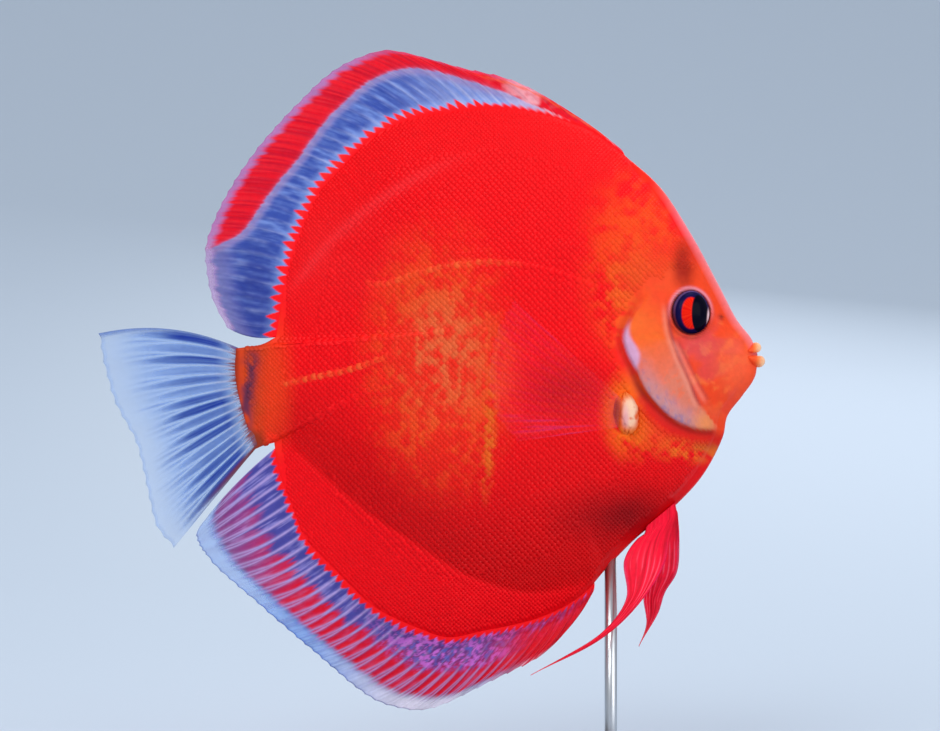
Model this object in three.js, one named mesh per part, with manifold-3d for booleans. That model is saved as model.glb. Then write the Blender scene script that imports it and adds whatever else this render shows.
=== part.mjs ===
// A life-size museum model of a red discus swimming to the right, held by a flat base and one rod.
// Millimetres. +X runs from tail to nose, +Z is up, and the fish's right flank faces -Y.
// Every outline is a list of [x, z] places from the fish's centre, as they are seen from the side.
import * as THREE from "three";
import { mergeVertices } from "three/addons/utils/BufferGeometryUtils.js";
import Module from "manifold-3d";

const wasm = await Module();
wasm.setup();

// Driving dimensions
const CENTRE_HEIGHT = 102;
const GAP = 0.3;
const HUB = [2, 10];
// Half depth of the blocks that part the body, and how far their free sides lie outside it
const BLOCK = { depth: 30, side: 80, top: 90 };

// Body outline, from the mouth over the back to the tail base and along the belly to the mouth
const BACK_LINE = [
  [66.6, 3.8], [65.0, 7.7], [61.7, 12.0], [57.4, 20.2], [50.4, 33.1], [43.2, 43.9], [35.0, 51.2],
  [26.6, 57.4], [13.0, 61.9], [2.9, 63.1], [-7.2, 62.2], [-16.6, 60.5], [-25.2, 56.4], [-33.6, 48.5],
  [-38.4, 43.2], [-43.0, 33.6], [-46.6, 21.8], [-48.0, 14.2], [-49.0, 7.9],
];
const TAIL_TOP_LINE = [[-49.0, 7.9], [-52.3, 6.2], [-58.4, 5.2]];
const TAIL_BASE_LINE = [[-58.4, 5.2], [-58.6, -1.0], [-57.2, -8.5], [-54.0, -19.0]];
const TAIL_UNDER_LINE = [[-54.0, -19.0], [-51.6, -18.0], [-49.3, -17.4]];
const BELLY_LINE = [
  [-49.3, -17.4], [-48.9, -21.0], [-48.0, -25.0], [-44.4, -34.6], [-42.2, -40.1], [-33.8, -49.2],
  [-25.2, -57.1], [-14.6, -62.2], [-7.7, -64.3], [0, -62.9], [14.6, -59.3], [24.0, -54.2],
  [31.7, -46.1], [37.2, -40.6], [47.0, -32.4], [53.5, -25.2], [58.3, -16.0], [59.4, -11.0],
  [62.8, -6.4], [66.0, -1.6], [66.6, 3.8],
];

// Half widths of the body along X: the flank's fullest, then what is left at the upper and lower edge
const FLANK_WIDTH = [
  [-58, 2.5], [-49, 4.2], [-35, 7.2], [-20, 10.6], [0, 13.2], [18, 14], [30, 13.4], [42, 11.6],
  [52, 9.0], [60, 6.0], [66, 3.2], [68, 2.6],
];
const UPPER_EDGE = [[-58, 1.9], [-52, 1.5], [-49, 1.1], [33, 1.1], [40, 2.2], [50, 3.0], [60, 3.0], [67, 2.6]];
const LOWER_EDGE = [[-58, 1.9], [-52, 1.5], [-49, 1.1], [25, 1.1], [32, 2.0], [45, 2.4], [58, 2.4], [67, 2.6]];
// How far in from the edge the flank reaches that width, and the power that shapes its rise
const UPPER_SHOULDER = [[-58, 44], [-49, 46], [-30, 48], [0, 50], [20, 44], [40, 28], [50, 18], [67, 14]];
const LOWER_SHOULDER = [[-58, 44], [-49, 44], [-30, 45], [0, 46], [20, 40], [40, 28], [55, 17], [67, 12]];
const RISE_POWER = [[-58, 0.95], [0, 0.92], [25, 0.8], [45, 0.65], [67, 0.6]];
const EDGE_ROUNDING = 0.8;
const RINGS = [0.22, 0.42, 0.58, 0.71, 0.81, 0.885, 0.94, 0.975, 1];
// The height that parts the upper from the lower edge, and the stretch of edge that carries the tail fin
const MIDDLE_Z = -6;
const TAIL_FIN_SEAT = { x: -53.5, top: 5, bottom: -18.9 };

// Where the fins grow: places on the body's edge, and how far past them the edge stays square
const DORSAL_FRONT_X = 34.4;
const ANAL_FRONT_X = 27.2;
const FIN_END_X = -48.9;
const FIN_FRONT_MARGIN = 2;
const FIN_END_MARGIN = 1;

// Outer margins of the fins that stand on the body's edge
const DORSAL_MARGIN = [
  [33.2, 53.6], [26.6, 58.6], [16.6, 65.2], [7.4, 69.9], [-6.2, 73.2], [-19.2, 76.6], [-24.2, 76.8],
  [-34.6, 72.5], [-43.9, 64.1], [-54.4, 52.1], [-62.2, 39.6], [-65.9, 29.3], [-65.5, 22.8],
  [-64.2, 17.0], [-60.7, 10.2],
];
const ANAL_MARGIN = [
  [27.2, -53.2], [24.7, -57.6], [21.4, -61.9], [14.6, -68.6], [2.6, -74.8], [-12.2, -81.4],
  [-19.2, -81.2], [-26.2, -78.7], [-39.8, -67.7], [-53.6, -55.7], [-65.0, -45.1], [-67.9, -39.5],
  [-64.9, -34.6],
];
const CAUDAL_MARGIN = [
  [-91.9, 8.8], [-91.0, 2.6], [-88.1, -8.1], [-83.3, -17.5], [-80.6, -29.0], [-78.4, -38.0], [-74.3, -43.2],
];

// Half thickness of the fins: between the rays, added on a ray, at the tips, and at the fleshy roots
const MEMBRANE = 0.26;
const RAY_RIDGE = 0.2;
const THINNEST = 0.12;
const FIN_ROOT = { upright: 1.0, tail: 1.7, pectoral: 0.8, pelvic: 0.9, filament: 0.32 };
// Sideways curve of the rays as a share of their length: along the fin, and at its rear edge
const DORSAL_BOW = [-0.13, 0.2];
const ANAL_BOW = [0.13, -0.06];
const CAUDAL_BOW = -0.17;
// How far the fins swing out of the body's middle plane
const DORSAL_WAVE = 1.2;
const ANAL_SWING = -2.2;
const CAUDAL_SWING = 7;
const PELVIC_SWING = [1.6, 4.6];

// Guide rays of each fin, from root to tip
const DORSAL_GUIDES = [
  [[34.4, 51.6], [33.2, 53.6]], [[26.6, 57.4], [22.1, 62.2]], [[13.0, 61.9], [1.9, 71.4]],
  [[-7.2, 62.2], [-28.0, 75.6]], [[-25.2, 56.4], [-44.5, 63.4]], [[-38.4, 43.2], [-57.7, 47.2]],
  [[-44.9, 27.6], [-65.4, 31.5]], [[-48.0, 14.2], [-64.4, 17.6]], [[-49.0, 7.9], [-60.7, 10.2]],
];
const ANAL_GUIDES = [
  [[27.2, -51.0], [27.2, -53.2]], [[24.0, -54.2], [14.6, -68.6]], [[7.9, -60.9], [-9.4, -80.4]],
  [[-7.7, -64.3], [-26.2, -78.7]], [[-20.2, -59.8], [-36.5, -70.5]], [[-29.8, -53.5], [-45.3, -62.8]],
  [[-37.9, -44.9], [-56.3, -53.5]], [[-44.4, -34.6], [-65.5, -44.4]], [[-48.4, -24.0], [-67.9, -39.5]],
  [[-49.0, -18.6], [-64.9, -34.6]],
];

// Pelvic fins: the leading and trailing edge of each, from root to the end of its filament
const NEAR_PELVIC = {
  front: [[47.8, -32.5], [45.4, -39.6], [44.2, -46.1], [38.2, -55.2], [29.4, -63.5], [12.0, -72.9]],
  rear: [[40.8, -38.4], [37.2, -40.9], [34.5, -45.6], [34.9, -54.2], [28.9, -62.4], [12.0, -72.2]],
};
const FAR_PELVIC = {
  front: [[47.4, -32.9], [48.2, -41.0], [47.6, -49.0], [44.8, -54.0], [43.2, -59.0], [38.8, -67.2]],
  rear: [[40.6, -38.6], [39.6, -44.0], [39.4, -50.0], [39.6, -56.0], [40.2, -61.0], [38.2, -66.8]],
};

// Pectoral fins: a fleshy pad with a fan swept back from it
const PECTORAL_PAD = { place: [34.3, -10.1], size: [3.0, 2.4, 4.9], out: 0.6 };
const PECTORAL_ROOT = [[33.0, -6.6], [32.4, -13.4]];
const PECTORAL_MARGIN = [[7.6, 16.4], [3.2, 8.0], [1.8, -2.0], [3.6, -10.5], [8.4, -16.6]];
const PECTORAL_SPREAD = 9;

// Head features
const EYE = { place: [49.9, 13.6], size: [4.8, 3.4, 5.3], sunk: 2.0, forward: 22 };
const EYE_RIM = { thickness: 0.75, clear: 0.2, sunk: 0.25 };
const GILL_COVER = {
  front: [[40.8, 18.6], [43.9, 14.0], [44.9, 8.0], [47.0, 2.4], [50.4, -4.6], [54.4, -10.2]],
  rear: [[39.6, 17.4], [33.8, 8.4], [36.2, 0.8], [39.4, -5.6], [45.4, -11.6], [54.0, -14.0]],
  lift: 0.9,
  hinge: 0.1,
  turnedIn: 0.5,
  depth: 1.2,
};
const HEAD_REAR_LINE = [
  [38.4, 60], [38.4, 48], [36.6, 34], [34.6, 22], [31.9, 12], [31.9, 6.0], [34.6, 0.0], [37.6, -6.6],
  [43.8, -13.2], [51.0, -15.8], [62, -17.6],
];
const NOSTRIL = { place: [57.6, 12.6], size: [0.8, 1.2, 0.65] };
const UPPER_LIP = { path: [[64.2, 2.9, 4.55], [65.6, 2.1, 5.15], [66.2, 0, 5.35]], radius: 1.25 };
const LOWER_LIP = { path: [[64.2, 2.9, 3.0], [66.0, 2.2, 2.3], [66.9, 0, 2.1]], radius: 1.55 };
const LIP_CORNER_RADIUS = 0.55;
const TAIL_CUT_X = -49.3;

// Stand
const BASE = { length: 110, width: 60, height: 8, corner: 10, bevel: 1.6 };
const ROD = { x: 31.4, radius: 1.5, socket: 5, inBody: -38 };
const COLLAR = { radius: 4, height: 3.2, shoulder: 1.2, slope: 0.8, lip: 0.4 };

// Curves and tables
const flat = ([x, z]) => new THREE.Vector3(x, 0, z);

function lineThrough(points) {
  return new THREE.CatmullRomCurve3(points.map(flat), false, "centripetal");
}

function valueAt(table, x) {
  const last = table.length - 1;
  if (x <= table[0][0]) return table[0][1];
  if (x >= table[last][0]) return table[last][1];
  const i = table.findIndex((row) => row[0] > x) - 1;
  const slopeAt = (k) => {
    const low = table[Math.max(0, k - 1)];
    const high = table[Math.min(last, k + 1)];
    return (high[1] - low[1]) / (high[0] - low[0]);
  };
  const span = table[i + 1][0] - table[i][0];
  const t = (x - table[i][0]) / span;
  const rise = table[i + 1][1] - table[i][1];
  const bend = t * (1 - t) * ((1 - t) * (slopeAt(i) * span - rise) - t * (slopeAt(i + 1) * span - rise));
  return table[i][1] + t * rise + bend;
}

function smoothStep(low, high, x) {
  const t = Math.min(1, Math.max(0, (x - low) / (high - low)));
  return t * t * (3 - 2 * t);
}

const mix = (a, b, t) => a + (b - a) * t;

// Solids
function solidFrom(positions, faces) {
  const geometry = new THREE.BufferGeometry();
  geometry.setAttribute("position", new THREE.Float32BufferAttribute(positions, 3));
  geometry.setIndex(faces);
  return solidOf(geometry);
}

function solidOf(source) {
  const bare = new THREE.BufferGeometry();
  bare.setAttribute("position", source.getAttribute("position").clone());
  if (source.index) bare.setIndex(source.index.clone());
  const merged = mergeVertices(bare, 1e-4);
  const made = new wasm.Manifold(
    new wasm.Mesh({
      numProp: 3,
      vertProperties: new Float32Array(merged.getAttribute("position").array),
      triVerts: new Uint32Array(merged.index.array),
    }),
  );
  if (made.volume() > 0) return made;
  const turned = Array.from(merged.index.array).reverse();
  merged.setIndex(turned);
  return solidOf(merged);
}

function geometryOf(solid) {
  const mesh = solid.getMesh();
  const geometry = new THREE.BufferGeometry();
  geometry.setAttribute("position", new THREE.BufferAttribute(new Float32Array(mesh.vertProperties), 3));
  geometry.setIndex(new THREE.BufferAttribute(new Uint32Array(mesh.triVerts), 1));
  const shaded = geometry.toNonIndexed();
  shaded.computeVertexNormals();
  return shaded;
}

function largestPiece(solid) {
  return solid.decompose().sort((a, b) => b.volume() - a.volume())[0];
}

function prism(points, low, high) {
  const shape = new THREE.Shape(points.map(([x, z]) => new THREE.Vector2(x, z)));
  const geometry = new THREE.ExtrudeGeometry(shape, { depth: high - low, bevelEnabled: false });
  geometry.rotateX(Math.PI / 2);
  geometry.translate(0, high, 0);
  return solidOf(geometry);
}

function ellipsoid(size, place, turn = 0, segments = 20) {
  const geometry = new THREE.SphereGeometry(1, segments, Math.round(segments * 0.6));
  geometry.rotateX(Math.PI / 2);
  geometry.scale(...size);
  geometry.rotateZ(turn);
  geometry.translate(...place);
  return solidOf(geometry);
}

function mirrored(solid) {
  const geometry = geometryOf(solid);
  geometry.scale(1, -1, 1);
  return solidOf(geometry);
}

// A thin closed sheet over a grid of places; both of its faces are split into triangles alike
function closedSheet(columns, rows, placeAt) {
  const stride = rows + 1;
  const farStart = (columns + 1) * stride;
  const places = [];
  for (let c = 0; c <= columns; c += 1) {
    for (let r = 0; r <= rows; r += 1) places.push(placeAt(c, r));
  }
  const positions = [-1, 1].flatMap((side) => places.flatMap(({ x, y, z, half }) => [x, y + side * half, z]));
  const faces = [];
  const near = (c, r) => c * stride + r;
  const far = (c, r) => farStart + near(c, r);
  const addStrip = (a, b) => {
    faces.push(near(...a), near(...b), far(...b));
    faces.push(near(...a), far(...b), far(...a));
  };
  for (let c = 0; c < columns; c += 1) {
    for (let r = 0; r < rows; r += 1) {
      const corners = [[c, r], [c, r + 1], [c + 1, r + 1], [c + 1, r]];
      const [a, b, d, e] = corners.map((corner) => places[near(...corner)]);
      const first = Math.hypot(a.x - d.x, a.z - d.z) < Math.hypot(b.x - e.x, b.z - e.z) ? 0 : 1;
      const order = [0, 1, 2, 3].map((k) => corners[(k + first) % 4]);
      for (const [i, j, k] of [[0, 1, 2], [0, 2, 3]]) {
        faces.push(near(...order[i]), near(...order[j]), near(...order[k]));
        faces.push(far(...order[i]), far(...order[k]), far(...order[j]));
      }
    }
  }
  for (let c = 0; c < columns; c += 1) {
    addStrip([c, 0], [c + 1, 0]);
    addStrip([c + 1, rows], [c, rows]);
  }
  for (let r = 0; r < rows; r += 1) {
    addStrip([0, r + 1], [0, r]);
    addStrip([columns, r], [columns, r + 1]);
  }
  return solidFrom(positions, faces);
}

// Body: spokes run from the hub to the outline, and rings of points stand on them on both flanks
function outlineSpokes() {
  const stretches = [
    [BACK_LINE, 36], [TAIL_TOP_LINE, 3], [TAIL_BASE_LINE, 6], [TAIL_UNDER_LINE, 2], [BELLY_LINE, 36],
  ];
  const placesAlong = ([points, steps]) => lineThrough(points).getSpacedPoints(steps).slice(0, -1);
  const places = stretches.flatMap(placesAlong);
  return places.map((place, i) => {
    const before = places.at(i - 1);
    const after = places[(i + 1) % places.length];
    const along = after.clone().sub(before).normalize();
    return { place, out: new THREE.Vector3(along.z, 0, -along.x), ...edgeAt(place) };
  });
}

function edgeAt(place) {
  const upper = place.z > MIDDLE_Z;
  const edge = valueAt(upper ? UPPER_EDGE : LOWER_EDGE, place.x);
  const shoulder = valueAt(upper ? UPPER_SHOULDER : LOWER_SHOULDER, place.x);
  const finFront = upper ? DORSAL_FRONT_X : ANAL_FRONT_X;
  const { x, top, bottom } = TAIL_FIN_SEAT;
  const onTailBase = place.x < x && place.z < top && place.z > bottom;
  const underFin = place.x < finFront + FIN_FRONT_MARGIN && place.x > FIN_END_X - FIN_END_MARGIN;
  const rounding = underFin || onTailBase ? 0 : EDGE_ROUNDING * edge;
  return { edge, shoulder, rounding, power: valueAt(RISE_POWER, place.x) };
}

const SPOKES = outlineSpokes();
const HUB_PLACE = flat(HUB);
for (const spoke of SPOKES) {
  spoke.rim = spoke.place.clone().addScaledVector(spoke.out, -spoke.rounding);
  spoke.reach = spoke.rim.distanceTo(HUB_PLACE);
  spoke.angle = Math.atan2(spoke.rim.z - HUB_PLACE.z, spoke.rim.x - HUB_PLACE.x);
}

function halfWidth(x, fraction, spoke) {
  const inward = Math.min(1, ((1 - fraction) * spoke.reach) / Math.min(spoke.shoulder, spoke.reach));
  const rise = (1 - (1 - inward) ** 2) ** spoke.power;
  return mix(spoke.edge, Math.max(spoke.edge, valueAt(FLANK_WIDTH, x)), rise);
}

function bodySolid(grow = 0) {
  const positions = [];
  const count = SPOKES.length;
  const faces = [];
  for (const side of [-1, 1]) {
    positions.push(HUB_PLACE.x, side * (valueAt(FLANK_WIDTH, HUB_PLACE.x) + grow), HUB_PLACE.z);
    for (const fraction of RINGS) {
      for (const spoke of SPOKES) {
        const place = HUB_PLACE.clone().lerp(spoke.rim, fraction);
        place.addScaledVector(spoke.out, grow * fraction);
        positions.push(place.x, side * (halfWidth(place.x, fraction, spoke) + grow), place.z);
      }
    }
  }
  for (const spoke of SPOKES) {
    const place = spoke.place.clone().addScaledVector(spoke.out, grow);
    positions.push(place.x, 0, place.z);
  }
  const sideStart = 1 + RINGS.length * count;
  const at = (side, ring, i) => side * sideStart + 1 + ring * count + (i % count);
  const rimAt = (i) => 2 * sideStart + (i % count);
  for (let i = 0; i < count; i += 1) {
    faces.push(0, at(0, 0, i), at(0, 0, i + 1));
    faces.push(sideStart, at(1, 0, i + 1), at(1, 0, i));
    for (let ring = 0; ring + 1 < RINGS.length; ring += 1) {
      const near = [at(0, ring, i), at(0, ring + 1, i), at(0, ring + 1, i + 1), at(0, ring, i + 1)];
      const far = near.map((k) => k + sideStart);
      faces.push(near[0], near[1], near[2], near[0], near[2], near[3]);
      faces.push(far[0], far[2], far[1], far[0], far[3], far[2]);
    }
    const last = RINGS.length - 1;
    faces.push(at(0, last, i), rimAt(i), rimAt(i + 1), at(0, last, i), rimAt(i + 1), at(0, last, i + 1));
    faces.push(at(1, last, i), rimAt(i + 1), rimAt(i), at(1, last, i), at(1, last, i + 1), rimAt(i + 1));
  }
  return solidFrom(positions, faces);
}

// Half width of the flank at any place inside the outline
function flankAt(x, z) {
  const angle = Math.atan2(z - HUB_PLACE.z, x - HUB_PLACE.x);
  const turn = (spoke) => (spoke.angle - angle + 4 * Math.PI) % (2 * Math.PI);
  const after = SPOKES.reduce((best, spoke) => (turn(spoke) < turn(best) ? spoke : best));
  const before = SPOKES.at(SPOKES.indexOf(after) - 1);
  const gap = turn(before) > Math.PI ? 2 * Math.PI - turn(before) : turn(before);
  const share = gap / (gap + turn(after) || 1);
  const blended = {};
  for (const key of ["edge", "shoulder", "power", "reach"]) blended[key] = mix(before[key], after[key], share);
  const fraction = Math.min(1, Math.hypot(x - HUB_PLACE.x, z - HUB_PLACE.z) / blended.reach);
  return halfWidth(x, fraction, blended);
}

const body = bodySolid();
const grownBody = bodySolid(GAP);

// Fins that stand on the body's edge: rays run from the base line to the margin between the guide rays
function fractionNear(curve, [x, z]) {
  const samples = curve.getSpacedPoints(400);
  const target = flat([x, z]);
  const distances = samples.map((place) => place.distanceTo(target));
  return distances.indexOf(Math.min(...distances)) / 400;
}

function rayFin({ base, margin, guides, rays, columnsPerRay, rows, bow, scallop, half, bend }) {
  const pairs = guides.map(([root, tip]) => [fractionNear(base, root), fractionNear(margin, tip)]);
  pairs[0] = [0, 0];
  pairs[pairs.length - 1] = [1, 1];
  const marginAt = (u) => {
    const i = Math.min(pairs.length - 2, pairs.findLastIndex((pair) => pair[0] <= u));
    const share = (u - pairs[i][0]) / (pairs[i + 1][0] - pairs[i][0]);
    return mix(pairs[i][1], pairs[i + 1][1], Math.min(1, share));
  };
  const columns = Math.round((rays - 1) * columnsPerRay);
  return closedSheet(columns, rows, (c, r) => {
    const u = c / columns;
    const phase = (u * (rays - 1)) % 1;
    const valley = 0.5 - 0.5 * Math.cos(2 * Math.PI * phase);
    const root = base.getPointAt(u);
    const tip = margin.getPointAt(marginAt(u));
    const span = tip.clone().sub(root);
    const length = span.length();
    const t = (r / rows) * (1 - Math.min(0.25, (valley * scallop(u)) / length));
    const bulge = new THREE.Vector3(-span.z, 0, span.x).multiplyScalar(2 * t * (1 - t) * bow(u));
    const place = root.addScaledVector(span, t).add(bulge);
    return { x: place.x, z: place.z, y: bend(u, t), half: half(u, t, valley) };
  });
}

// The body's edge between two places, moved out by the gap to the right of the line, or to its left for -1
function finBase(line, from, to, outside = 1) {
  const whole = lineThrough(line);
  const start = fractionNear(whole, from);
  const end = fractionNear(whole, to);
  const steps = 48;
  const places = [];
  for (let i = 0; i <= steps; i += 1) {
    const u = mix(start, end, i / steps);
    const along = whole.getTangentAt(u);
    const out = new THREE.Vector3(along.z, 0, -along.x).multiplyScalar(outside * GAP);
    places.push(whole.getPointAt(u).add(out));
  }
  return new THREE.CatmullRomCurve3(places, false, "centripetal");
}

function finHalf(root, rootReach) {
  return (u, t, valley) => {
    const fleshy = root * (1 - smoothStep(0, rootReach, t));
    const ridge = RAY_RIDGE * (1 - valley) * smoothStep(0, 0.12, t);
    const thin = MEMBRANE + ridge;
    return Math.max(THINNEST, Math.max(fleshy, thin) * (1 - 0.45 * smoothStep(0.75, 1, t)));
  };
}

function dorsalFin() {
  return rayFin({
    base: finBase(BACK_LINE, DORSAL_GUIDES[0][0], [-49.0, 8.3]),
    margin: lineThrough(DORSAL_MARGIN),
    guides: DORSAL_GUIDES,
    rays: 42,
    columnsPerRay: 2,
    rows: 5,
    bow: (u) => mix(...DORSAL_BOW, smoothStep(0.85, 1, u)),
    scallop: (u) => mix(1.1, 0.3, smoothStep(0.25, 0.35, u)) * smoothStep(0, 0.12, u),
    half: finHalf(FIN_ROOT.upright, 0.3),
    bend: (u, t) => DORSAL_WAVE * t * t * Math.sin(5 * u),
  });
}

function analFin() {
  return rayFin({
    base: finBase(BELLY_LINE.toReversed(), ANAL_GUIDES[0][0], [-49.0, -18.9], -1),
    margin: lineThrough(ANAL_MARGIN),
    guides: ANAL_GUIDES,
    rays: 40,
    columnsPerRay: 2,
    rows: 5,
    bow: (u) => mix(...ANAL_BOW, smoothStep(0.8, 1, u)),
    scallop: (u) => mix(1.3, 0.3, smoothStep(0.18, 0.26, u)) * smoothStep(0, 0.1, u),
    half: finHalf(FIN_ROOT.upright, 0.3),
    bend: (u, t) => ANAL_SWING * t * t * smoothStep(0.45, 1, u),
  });
}

// Body pieces
function headRegion() {
  const line = lineThrough(HEAD_REAR_LINE).getSpacedPoints(24).map((place) => [place.x, place.z]);
  return [...line, [BLOCK.side, HEAD_REAR_LINE.at(-1)[1]], [BLOCK.side, HEAD_REAR_LINE[0][1]]];
}

function shifted(points, distance) {
  return points.map(([x, z]) => [x + distance, z]);
}

function gillOutline(margin) {
  const front = lineThrough(GILL_COVER.front).getSpacedPoints(12);
  const rear = lineThrough(GILL_COVER.rear).getSpacedPoints(12);
  const ring = [...front, ...rear.reverse()];
  return ring.map((place, i) => {
    const before = ring.at(i - 1);
    const after = ring[(i + 1) % ring.length];
    const along = after.clone().sub(before).normalize();
    return [place.x - along.z * margin, place.z + along.x * margin];
  });
}

function gillCover(side) {
  const front = lineThrough(GILL_COVER.front);
  const rear = lineThrough(GILL_COVER.rear);
  const columns = 14;
  const rows = 5;
  return closedSheet(columns, rows, (c, r) => {
    const share = r / rows;
    const place = front.getPointAt(c / columns).lerp(rear.getPointAt(c / columns), share);
    const raised = mix(GILL_COVER.hinge, GILL_COVER.lift, smoothStep(0, 1, share));
    const lift = share === 1 ? raised - GILL_COVER.turnedIn : raised;
    const under = share === 1 ? GILL_COVER.hinge : GILL_COVER.depth;
    const surface = flankAt(place.x, place.z);
    const outer = surface + lift;
    const inner = surface - under;
    return { x: place.x, z: place.z, y: (side * (outer + inner)) / 2, half: (outer - inner) / 2 };
  });
}

function gillRecess(side) {
  const cut = prism(gillOutline(GAP), side > 0 ? 0 : -BLOCK.depth, side > 0 ? BLOCK.depth : 0);
  return cut.subtract(bodySolid(-GILL_COVER.depth - GAP));
}

function eyePlace(side) {
  const [x, z] = EYE.place;
  return [x, side * (flankAt(x, z) - EYE.sunk), z];
}

function eyeBall(side, grow = 0) {
  const size = EYE.size.map((radius) => radius + grow);
  const turn = side * THREE.MathUtils.degToRad(-EYE.forward);
  return ellipsoid(size, eyePlace(side), turn, 20);
}

function eyeRim(side) {
  const geometry = new THREE.TorusGeometry(EYE.size[2] + EYE_RIM.clear, EYE_RIM.thickness, 6, 24);
  geometry.rotateX(Math.PI / 2);
  geometry.scale(EYE.size[0] / EYE.size[2], 1, 1);
  geometry.rotateZ(side * THREE.MathUtils.degToRad(-EYE.forward));
  const [x, y, z] = eyePlace(side);
  geometry.translate(x, y + side * (EYE.sunk - EYE_RIM.sunk), z);
  return solidOf(geometry);
}

function lip(shape, grow = 0) {
  const [corner, side, middle] = shape.path;
  const right = ([x, y, z]) => new THREE.Vector3(x, -y, z);
  const left = ([x, y, z]) => new THREE.Vector3(x, y, z);
  const path = new THREE.CatmullRomCurve3([right(corner), right(side), left(middle), left(side), left(corner)]);
  const steps = 12;
  const sides = 8;
  const positions = [];
  const faces = [];
  for (let i = 0; i <= steps; i += 1) {
    const centre = path.getPointAt(i / steps);
    const forward = path.getTangentAt(i / steps);
    const up = new THREE.Vector3(0, 0, 1);
    const outward = new THREE.Vector3().crossVectors(forward, up).normalize();
    const fullness = Math.sin((Math.PI * i) / steps) ** 0.7;
    const radius = mix(LIP_CORNER_RADIUS, shape.radius, fullness) + grow;
    for (let k = 0; k < sides; k += 1) {
      const turn = (2 * Math.PI * k) / sides;
      const place = centre.clone().addScaledVector(outward, radius * Math.cos(turn));
      place.addScaledVector(up, radius * Math.sin(turn));
      positions.push(place.x, place.y, place.z);
    }
  }
  for (const end of [0, steps]) {
    const centre = path.getPointAt(end / steps);
    const forward = path.getTangentAt(end / steps);
    centre.addScaledVector(forward, (end ? 0.7 : -0.7) * (LIP_CORNER_RADIUS + grow));
    positions.push(centre.x, centre.y, centre.z);
  }
  const ends = (steps + 1) * sides;
  for (let k = 0; k < sides; k += 1) {
    const next = (k + 1) % sides;
    for (let i = 0; i < steps; i += 1) {
      const a = i * sides;
      faces.push(a + k, a + next, a + sides + next, a + k, a + sides + next, a + sides + k);
    }
    faces.push(ends, next, k, ends + 1, steps * sides + k, steps * sides + next);
  }
  return solidFrom(positions, faces);
}

function headSolid() {
  let head = body.intersect(prism(shifted(headRegion(), GAP / 2), -BLOCK.depth, BLOCK.depth));
  for (const side of [-1, 1]) head = head.add(eyeRim(side));
  for (const side of [-1, 1]) {
    const [x, z] = NOSTRIL.place;
    const pit = ellipsoid(NOSTRIL.size, [x, side * flankAt(x, z), z], 0, 8);
    head = head.subtract(eyeBall(side, GAP)).subtract(gillRecess(side)).subtract(pit);
  }
  for (const shape of [UPPER_LIP, LOWER_LIP]) head = head.subtract(lip(shape, GAP));
  return largestPiece(head);
}

function blockBetween(low, high) {
  const corners = [[low, -BLOCK.top], [high, -BLOCK.top], [high, BLOCK.top], [low, BLOCK.top]];
  return prism(corners, -BLOCK.depth, BLOCK.depth);
}

function torsoSolid() {
  const behindHead = body.subtract(prism(shifted(headRegion(), -GAP / 2), -BLOCK.depth, BLOCK.depth));
  let torso = behindHead.intersect(blockBetween(TAIL_CUT_X + GAP / 2, BLOCK.side));
  for (const side of [-1, 1]) torso = torso.subtract(gillRecess(side));
  return largestPiece(torso);
}

function peduncleSolid() {
  return largestPiece(body.intersect(blockBetween(-BLOCK.side, TAIL_CUT_X - GAP / 2)));
}

// Tail fin: rays fan out from the tail base, and its lower lobe swings to the far side
function caudalFin() {
  return rayFin({
    base: finBase(TAIL_BASE_LINE, [-58.4, 5.0], [-54.0, -18.9]),
    margin: lineThrough(CAUDAL_MARGIN),
    guides: [[[-58.4, 5.0], CAUDAL_MARGIN[0]], [[-54.0, -18.9], CAUDAL_MARGIN.at(-1)]],
    rays: 17,
    columnsPerRay: 2,
    rows: 6,
    bow: (u) => CAUDAL_BOW * (1 - u) ** 3,
    scallop: () => 0.4,
    half: finHalf(FIN_ROOT.tail, 0.22),
    bend: (u, t) => CAUDAL_SWING * t ** 1.5 * (0.35 + 0.65 * u),
  });
}

// Pectoral fin: pad and fan in one piece
function pectoralFin(side) {
  const [padX, padZ] = PECTORAL_PAD.place;
  const padY = side * (flankAt(padX, padZ) + PECTORAL_PAD.out);
  const pad = ellipsoid(PECTORAL_PAD.size, [padX, padY, padZ], 0, 16);
  const fan = rayFin({
    base: lineThrough(PECTORAL_ROOT),
    margin: lineThrough(PECTORAL_MARGIN),
    guides: [[PECTORAL_ROOT[0], PECTORAL_MARGIN[0]], [PECTORAL_ROOT[1], PECTORAL_MARGIN[4]]],
    rays: 11,
    columnsPerRay: 2,
    rows: 5,
    bow: () => 0,
    scallop: () => 0.6,
    half: finHalf(FIN_ROOT.pectoral, 0.3),
    bend: (u, t) => padY + side * (1.0 + PECTORAL_SPREAD * t ** 1.2),
  });
  return largestPiece(pad.add(fan).subtract(grownBody));
}

// Pelvic fin: a narrow fan between its two edges that ends in a filament
function pelvicFin(edges, side) {
  const front = lineThrough(edges.front);
  const rear = lineThrough(edges.rear);
  const columns = 6;
  const rows = 14;
  const fin = closedSheet(columns, rows, (c, r) => {
    const t = r / rows;
    const place = front.getPointAt(t).lerp(rear.getPointAt(t), c / columns);
    const half = mix(FIN_ROOT.pelvic, FIN_ROOT.filament, smoothStep(0, 0.25, t));
    const [start, swing] = PELVIC_SWING;
    return { x: place.x, z: place.z, y: side * (start + swing * smoothStep(0, 0.6, t)), half };
  });
  return largestPiece(fin.subtract(grownBody));
}

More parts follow.
